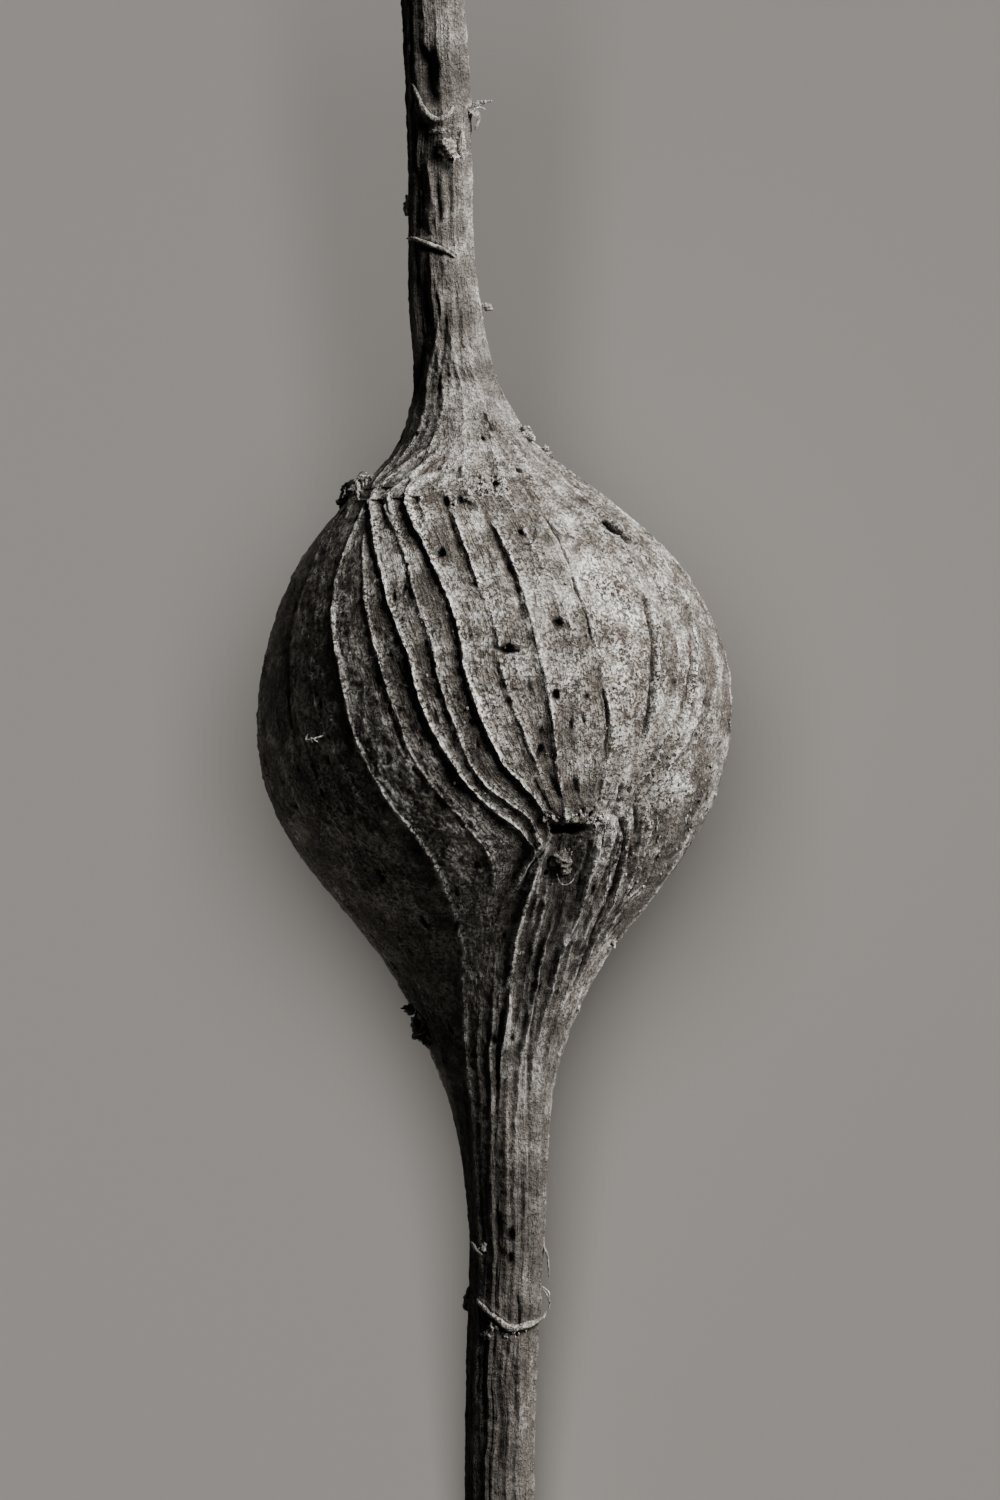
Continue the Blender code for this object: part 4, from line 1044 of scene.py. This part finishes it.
def makeStrips(material):
    # a ribbon for each strip, and all the fibres in one piece
    for number, (name, (halfWide, halfThick, line)) in enumerate(strips.items()):
        points = ribbon(line, halfWide, halfThick, stripped["rows"], stripped["columns"],
                        stripped["seed"] + 5 * number)[None]
        lumpy = roughAt(points, stripped["lumpSize"], stripped["seed"] + number, 2)
        crest = stripped["crest"] + stripped["crestLump"] * lumpy
        looks = plainLooks(lumpy, crest, 0, stripped["stainAndShade"], stripped["speck"], points)
        closedTubes(name, points, looks, material)
    drawn = [(ribbon(line, half, half, stripped["fibreRows"], stripped["fibreColumns"], 0), dark)
             for half, dark, line in fibres.values()]
    points = np.stack([spots for spots, dark in drawn])
    shade = np.array([dark for spots, dark in drawn])[:, None, None]
    looks = plainLooks(points[..., 0], stripped["fibreCrest"], shade, 0, 0, points)
    closedTubes("fibres", points, looks, material)


# The cut ends: height, which way the face looks along the stem.
cuts = {"upperCut": (44, 1), "lowerCut": (-50, -1)}
cutFace = {"rows": 44, "columns": 120, "seed": 33, "out": 0.03, "thick": 0.3,
           "pith": 0.42, "pithDepth": 0.22, "bark": 0.86, "edge": (0.93, 1), "edgeDrop": 0.2,
           "under": (0.9, 1, 4), "face": (0.995, 0.02), "wider": 0.02, "raysApart": 9,
           "rayRise": 0.05, "roughRise": 0.05, "roughSize": 0.16, "pithSoft": 0.06,
           "pithRagged": 0.04, "barkSoft": 0.03, "flow": (3, 3, 1)}
cutLook = {"crest": 0.6, "crestBark": -0.1, "crestRays": 0.3, "crestRough": 0.25, "dark": -0.1,
           "darkPith": 0.35, "darkBark": 0.45, "darkRays": -0.6, "stainAndShade": 0.2, "speck": 0.5}


def makeCut(name, height, way, material):
    # a disc: pith sunk in the middle, wood with rays, bark round it. Radius share runs 1 to 0.
    under = np.linspace(*cutFace["under"])
    share = np.concatenate([under, np.linspace(*cutFace["face"], cutFace["rows"])])[:, None]
    turn = (2 * np.pi * np.arange(cutFace["columns"]) / cutFace["columns"])[None, :]
    face = (np.arange(len(share)) >= len(under))[:, None]
    flat = np.stack([np.cos(turn) * share, np.sin(turn) * share, 0 * turn * share], axis=-1)
    apart = cutFace["raysApart"]
    rays = noiseAt(np.stack([np.cos(turn) * apart + 0 * share, np.sin(turn) * apart + 0 * share,
                             2 * share + 0 * turn], axis=-1), 1, cutFace["seed"])
    rough = roughAt(flat + height, cutFace["roughSize"], cutFace["seed"] + 1, 3)
    pith = 1 - riseBetween(share + cutFace["pithRagged"] * rough,
                           cutFace["pith"] - cutFace["pithSoft"],
                           cutFace["pith"] + cutFace["pithSoft"])
    up = cutFace["out"] + cutFace["rayRise"] * rays + cutFace["roughRise"] * rough
    up = up - cutFace["pithDepth"] * pith
    up = up - cutFace["edgeDrop"] * riseBetween(share, *cutFace["edge"])
    up = np.where(face, up, -cutFace["thick"])
    radius = smoothThrough(galled["outline"], np.array(height)) + cutFace["wider"]
    points = axisPoint(np.array(height)) + np.stack([
        way * flat[..., 0] * radius, flat[..., 1] * radius, way * up], axis=-1)
    ring = riseBetween(share, cutFace["bark"] - cutFace["barkSoft"],
                       cutFace["bark"] + cutFace["barkSoft"])
    crest = cutLook["crest"] + cutLook["crestBark"] * ring + cutLook["crestRays"] * rays
    crest = crest + cutLook["crestRough"] * rough
    dark = cutLook["dark"] + cutLook["darkPith"] * pith + cutLook["darkRays"] * rays
    dark = dark + cutLook["darkBark"] * ring * (share < cutFace["edge"][0])
    looks = plainLooks(up, crest, dark, cutLook["stainAndShade"], cutLook["speck"],
                       points * cutFace["flow"])
    looks = {title: values[None] for title, values in looks.items()}
    closedTubes(name, points[None], looks, material)


def feed(tree, socket, value):
    # another node's output is linked, a plain value is set
    if isinstance(value, bpy.types.NodeSocket):
        tree.links.new(value, socket)
    else:
        socket.default_value = value


def nodeIn(tree, kind, inputs=None, **settings):
    # a new node with its settings made and its inputs fed
    node = tree.nodes.new(kind)
    for title, value in settings.items():
        setattr(node, title, value)
    for title, value in (inputs or {}).items():
        feed(tree, node.inputs[title], value)
    return node


def mixColours(tree, share, first, second):
    # first times one minus the share, plus second times the share
    mix = nodeIn(tree, "ShaderNodeMix", data_type="RGBA")
    for number, value in ((0, share), (6, first), (7, second)):
        feed(tree, mix.inputs[number], value)
    return mix.outputs[2]


def maths(tree, how, first, second):
    # the two values put together as how says
    node = nodeIn(tree, "ShaderNodeMath", {0: first, 1: second}, operation=how)
    return node.outputs[0]


def times(tree, first, second):
    # first times second
    return maths(tree, "MULTIPLY", first, second)


def stepBetween(tree, value, low, high):
    # nought at low, one at high and even between
    node = nodeIn(tree, "ShaderNodeMapRange", {0: value, 1: low, 2: high}, clamp=True)
    return node.outputs[0]


weathered = {                            # scale, detail, roughness and distortion
    "fibre": (3.6, 4, 0.62, 0), "pore": (1, 1.6, 0.55, 0.3), "coarse": (0.42, 3, 0.6, 0.4),
    "blotch": (420, 3, 0.6, 0), "vein": (2300, 3, 0.62, 0.7), "patch": (1050, 3, 0.65, 0),
}
masked = {                               # where a mask starts and where it is full
    "fibre": (0.48, 0.66), "pore": (0.49, 0.42), "coarse": (0.425, 0.375), "vein": (0.03, 0.004),
    "veinPatch": (0.4, 0.6), "patch": (0.42, 0.56), "blotch": (0.4, 0.58),
    "fibreHeight": 0.8, "holeHeight": 0.3,
}


def noiseOf(tree, name, vector, perScale=None):
    # the named noise; its scale is times another value where one is given
    scale, detail, roughness, distortion = weathered[name]
    scale = scale if perScale is None else times(tree, perScale, scale)
    return nodeIn(tree, "ShaderNodeTexNoise", {
        "Vector": vector, "Scale": scale, "Detail": detail, "Roughness": roughness,
        "Distortion": distortion}).outputs["Fac"]


def speckleGroup():
    # weathered plant skin: pale fibres along the flow, dark pores between them, and blotches
    group = bpy.data.node_groups.new("weathering", "ShaderNodeTree")
    for title, kind in (("Flow", "NodeSocketVector"), ("Place", "NodeSocketVector"),
                        ("Fibre Length", "NodeSocketFloat"), ("Pore Size", "NodeSocketFloat")):
        group.interface.new_socket(name=title, in_out="INPUT", socket_type=kind)
    for title in ("Fibres", "Pores", "Cracks", "Blotches", "Height"):
        group.interface.new_socket(name=title, in_out="OUTPUT", socket_type="NodeSocketFloat")
    inside = nodeIn(group, "NodeGroupInput").outputs
    shorter = maths(group, "DIVIDE", 1, inside["Fibre Length"])
    squeezed = nodeIn(group, "ShaderNodeCombineXYZ", {0: 1, 1: 1, 2: shorter})
    drawn = nodeIn(group, "ShaderNodeVectorMath", {0: inside["Flow"], 1: squeezed.outputs[0]},
                   operation="MULTIPLY")
    poreScale = maths(group, "DIVIDE", 1, inside["Pore Size"])
    noise = {"fibre": noiseOf(group, "fibre", drawn.outputs[0])}
    for name in ("pore", "coarse"):
        noise[name] = noiseOf(group, name, inside["Place"], poreScale)
    for name in ("blotch", "vein", "patch"):
        noise[name] = noiseOf(group, name, inside["Place"])
    centre = maths(group, "ABSOLUTE", maths(group, "SUBTRACT", noise["vein"], 0.5), 0)
    mask = {name: stepBetween(group, centre if name == "vein" else value, *masked[name])
            for name, value in noise.items()}
    pores = maths(group, "MAXIMUM", mask["pore"], mask["coarse"])
    cracks = times(group, mask["vein"], stepBetween(group, noise["patch"], *masked["veinPatch"]))
    blotches = times(group, maths(group, "ADD", mask["blotch"], mask["patch"]), 0.5)
    height = maths(group, "SUBTRACT", times(group, noise["fibre"], masked["fibreHeight"]),
                   times(group, maths(group, "ADD", pores, cracks), masked["holeHeight"]))
    outside = nodeIn(group, "NodeGroupOutput")
    for number, value in enumerate((mask["fibre"], pores, cracks, blotches, height)):
        group.links.new(value, outside.inputs[number])
    return group


barkLook = {
    "pale": (0.6, 0.562, 0.506, 1), "mid": (0.245, 0.216, 0.182, 1),
    "deep": (0.055, 0.041, 0.03, 1), "black": (0.015, 0.011, 0.008, 1),
    "crestPale": (0.76, 0.73, 0.68, 1), "dirt": (0.108, 0.092, 0.076, 1),
    "raised": (0.5, 0.8), "sunk": (0.46, 0.25), "sunkShare": 0.6, "fibreShare": 0.3,
    "poreShare": 1.1, "crackShare": 0.75, "stainAndShadeShare": 0.8,
    "fibreLength": 6, "poreSize": 0.00017, "roughness": 0.75, "fibreGloss": 0.025,
    "bump": 1, "bumpDepth": 0.0004, "specular": 0.22,
}


def barkMaterial(name, look, weathering):
    # layer over layer: crests and fibres paler, hollows, pores and cracks darker, then stains,
    # then black
    material = bpy.data.materials.new(name)
    material.use_nodes = True
    tree = material.node_tree
    crest, dark, stainAndShade, speck = (
        nodeIn(tree, "ShaderNodeAttribute", attribute_name=title).outputs["Fac"]
        for title in ("crest", "dark", "stainAndShade", "speck"))
    flow = nodeIn(tree, "ShaderNodeAttribute", attribute_name="flow")
    place = nodeIn(tree, "ShaderNodeTexCoord")
    marks = nodeIn(tree, "ShaderNodeGroup", node_tree=weathering)
    for title, value in (("Flow", flow.outputs["Vector"]), ("Place", place.outputs["Object"]),
                         ("Fibre Length", look["fibreLength"]), ("Pore Size", look["poreSize"])):
        feed(tree, marks.inputs[title], value)
    marks = marks.outputs
    colour = mixColours(tree, marks["Blotches"], look["mid"], look["pale"])
    # the crest and hollow layers are painted highlight and painted shade; the stain layer is
    # stains and painted shade; the black is painted shade in furrows, creases, slots, pits and
    # dents
    layers = [
        (stepBetween(tree, crest, *look["raised"]), "crestPale"),
        (times(tree, marks["Fibres"], look["fibreShare"]), "crestPale"),
        (times(tree, stepBetween(tree, crest, *look["sunk"]), look["sunkShare"]), "deep"),
        (times(tree, times(tree, marks["Pores"], look["poreShare"]), speck), "deep"),
        (times(tree, times(tree, marks["Cracks"], look["crackShare"]), speck), "deep"),
        (times(tree, stainAndShade, look["stainAndShadeShare"]), "dirt"), (dark, "black")]
    for share, title in layers:
        colour = mixColours(tree, share, colour, look[title])
    gloss = times(tree, marks["Fibres"], look["fibreGloss"])
    bump = nodeIn(tree, "ShaderNodeBump", {
        "Height": marks["Height"], "Strength": look["bump"], "Distance": look["bumpDepth"]})
    shader = tree.nodes["Principled BSDF"]
    for title, value in (("Base Color", colour), ("Specular IOR Level", look["specular"]),
                         ("Roughness", maths(tree, "SUBTRACT", look["roughness"], gloss)),
                         ("Normal", bump.outputs["Normal"])):
        feed(tree, shader.inputs[title], value)
    return material


weathering = speckleGroup()
bark = barkMaterial("dryBark", barkLook, weathering)
for lengthName, lengthSizes in lengths.items():
    made = makeLength(lengthName, lengthSizes, bark)
    print("stage 3:", lengthName, len(made.data.vertices), "points")
makeNubs(bark)
makeCrumbs(bark)
makeStrips(bark)
for cutName, (cutHeight, cutWay) in cuts.items():
    makeCut(cutName, cutHeight, cutWay, bark)
print("stage 4: nubs, crumbs, strips, fibres and cut ends")

# Floor, lights and camera.
studio = {
    "floorSize": 3.0, "floor": (0.50, 0.475, 0.44, 1.0), "floorRoughness": 0.9,
    "lights": {                          # watts, size, distance, and where it comes from: right,
        "key": (10.0, 0.34, 0.55, (0.732, 0.559, 0.389)),             # up, towards the viewer
        "soft": (0.8, 0.55, 0.60, (0.74, 0.46, 0.49))},
    "floorWatts": 2.6, "floorLightSize": 0.5, "floorLightHigh": 0.6,
    "world": (0.86, 0.74, 0.62, 1.0), "worldStrength": 0.006,
    "lens": 135.0, "sensor": 36.0, "clip": 0.01,
    "pictureHigh": 79.5,                 # millimetres the picture takes in
    "pictureMiddle": (0.42, -2.65),      # side and height at the picture's middle
}


def pictureDirections():
    # right, up and towards the viewer, as the laid-down gall has them
    turn = Matrix.Rotation(math.radians(laid["lean"] - 90.0), 3, "X")
    return turn @ Vector((1, 0, 0)), turn @ Vector((0, 0, 1)), turn @ Vector((0, -1, 0))


def makeFloor():
    # one square at height nought
    half = studio["floorSize"] / 2
    mesh = bpy.data.meshes.new("floor")
    mesh.from_pydata([(-half, -half, 0), (half, -half, 0), (half, half, 0), (-half, half, 0)], [],
                     [(0, 1, 2, 3)])
    material = bpy.data.materials.new("paleFloor")
    material.use_nodes = True
    shader = material.node_tree.nodes["Principled BSDF"]
    shader.inputs["Base Color"].default_value = studio["floor"]
    shader.inputs["Roughness"].default_value = studio["floorRoughness"]
    mesh.materials.append(material)
    floor = bpy.data.objects.new("floor", mesh)
    bpy.context.scene.collection.objects.link(floor)
    floor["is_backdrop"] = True


def aim(thing, towards):
    # its own minus Z points the way it looks
    thing.rotation_mode = "QUATERNION"
    thing.rotation_quaternion = (towards - thing.location).to_track_quat("-Z", "Y")


def makeLight(name, watts, size, place, towards):
    # a square lamp turned to what it lights
    lamp = bpy.data.lights.new(name, "AREA")
    lamp.energy = watts
    lamp.size = size
    light = bpy.data.objects.new(name, lamp)
    light.location = place
    bpy.context.scene.collection.objects.link(light)
    aim(light, towards)
    return light


def makeCamera(middle, up, viewer):
    # as far away as picture height over sensor height times the focal length
    away = studio["pictureHigh"] / studio["sensor"] * studio["lens"] * mm
    lens = bpy.data.cameras.new("camera")
    lens.lens = studio["lens"]
    lens.sensor_width = studio["sensor"]
    lens.clip_start = studio["clip"]
    camera = bpy.data.objects.new("camera", lens)
    camera.matrix_world = Matrix((up.cross(viewer), up, viewer)).transposed().to_4x4()
    camera.location = middle + viewer * away
    bpy.context.scene.collection.objects.link(camera)
    bpy.context.scene.camera = camera


right, up, viewer = pictureDirections()
ballMiddle = Vector(laid["place"]) * mm
side, level = studio["pictureMiddle"]
makeFloor()
gallLit = bpy.data.collections.new("gallLit")
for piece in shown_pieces():
    gallLit.objects.link(piece)
for lightName, (watts, size, away, shares) in studio["lights"].items():
    way = (right * shares[0] + up * shares[1] + viewer * shares[2]).normalized()
    light = makeLight(lightName, watts, size, ballMiddle + way * away, ballMiddle)
    light.light_linking.receiver_collection = gallLit
floorLit = bpy.data.collections.new("floorLit")
floorLit.objects.link(bpy.data.objects["floor"])
floorLight = makeLight("floorLight", studio["floorWatts"], studio["floorLightSize"],
                       Vector((0, 0, studio["floorLightHigh"])), Vector((0, 0, 0)))
floorLight.light_linking.receiver_collection = floorLit
world = bpy.data.worlds.new("studio")
world.use_nodes = True
world.node_tree.nodes["Background"].inputs["Color"].default_value = studio["world"]
world.node_tree.nodes["Background"].inputs["Strength"].default_value = studio["worldStrength"]
bpy.context.scene.world = world
makeCamera(ballMiddle + right * side * mm + up * level * mm, up, viewer)
print("stage 5: floor, lights and camera")
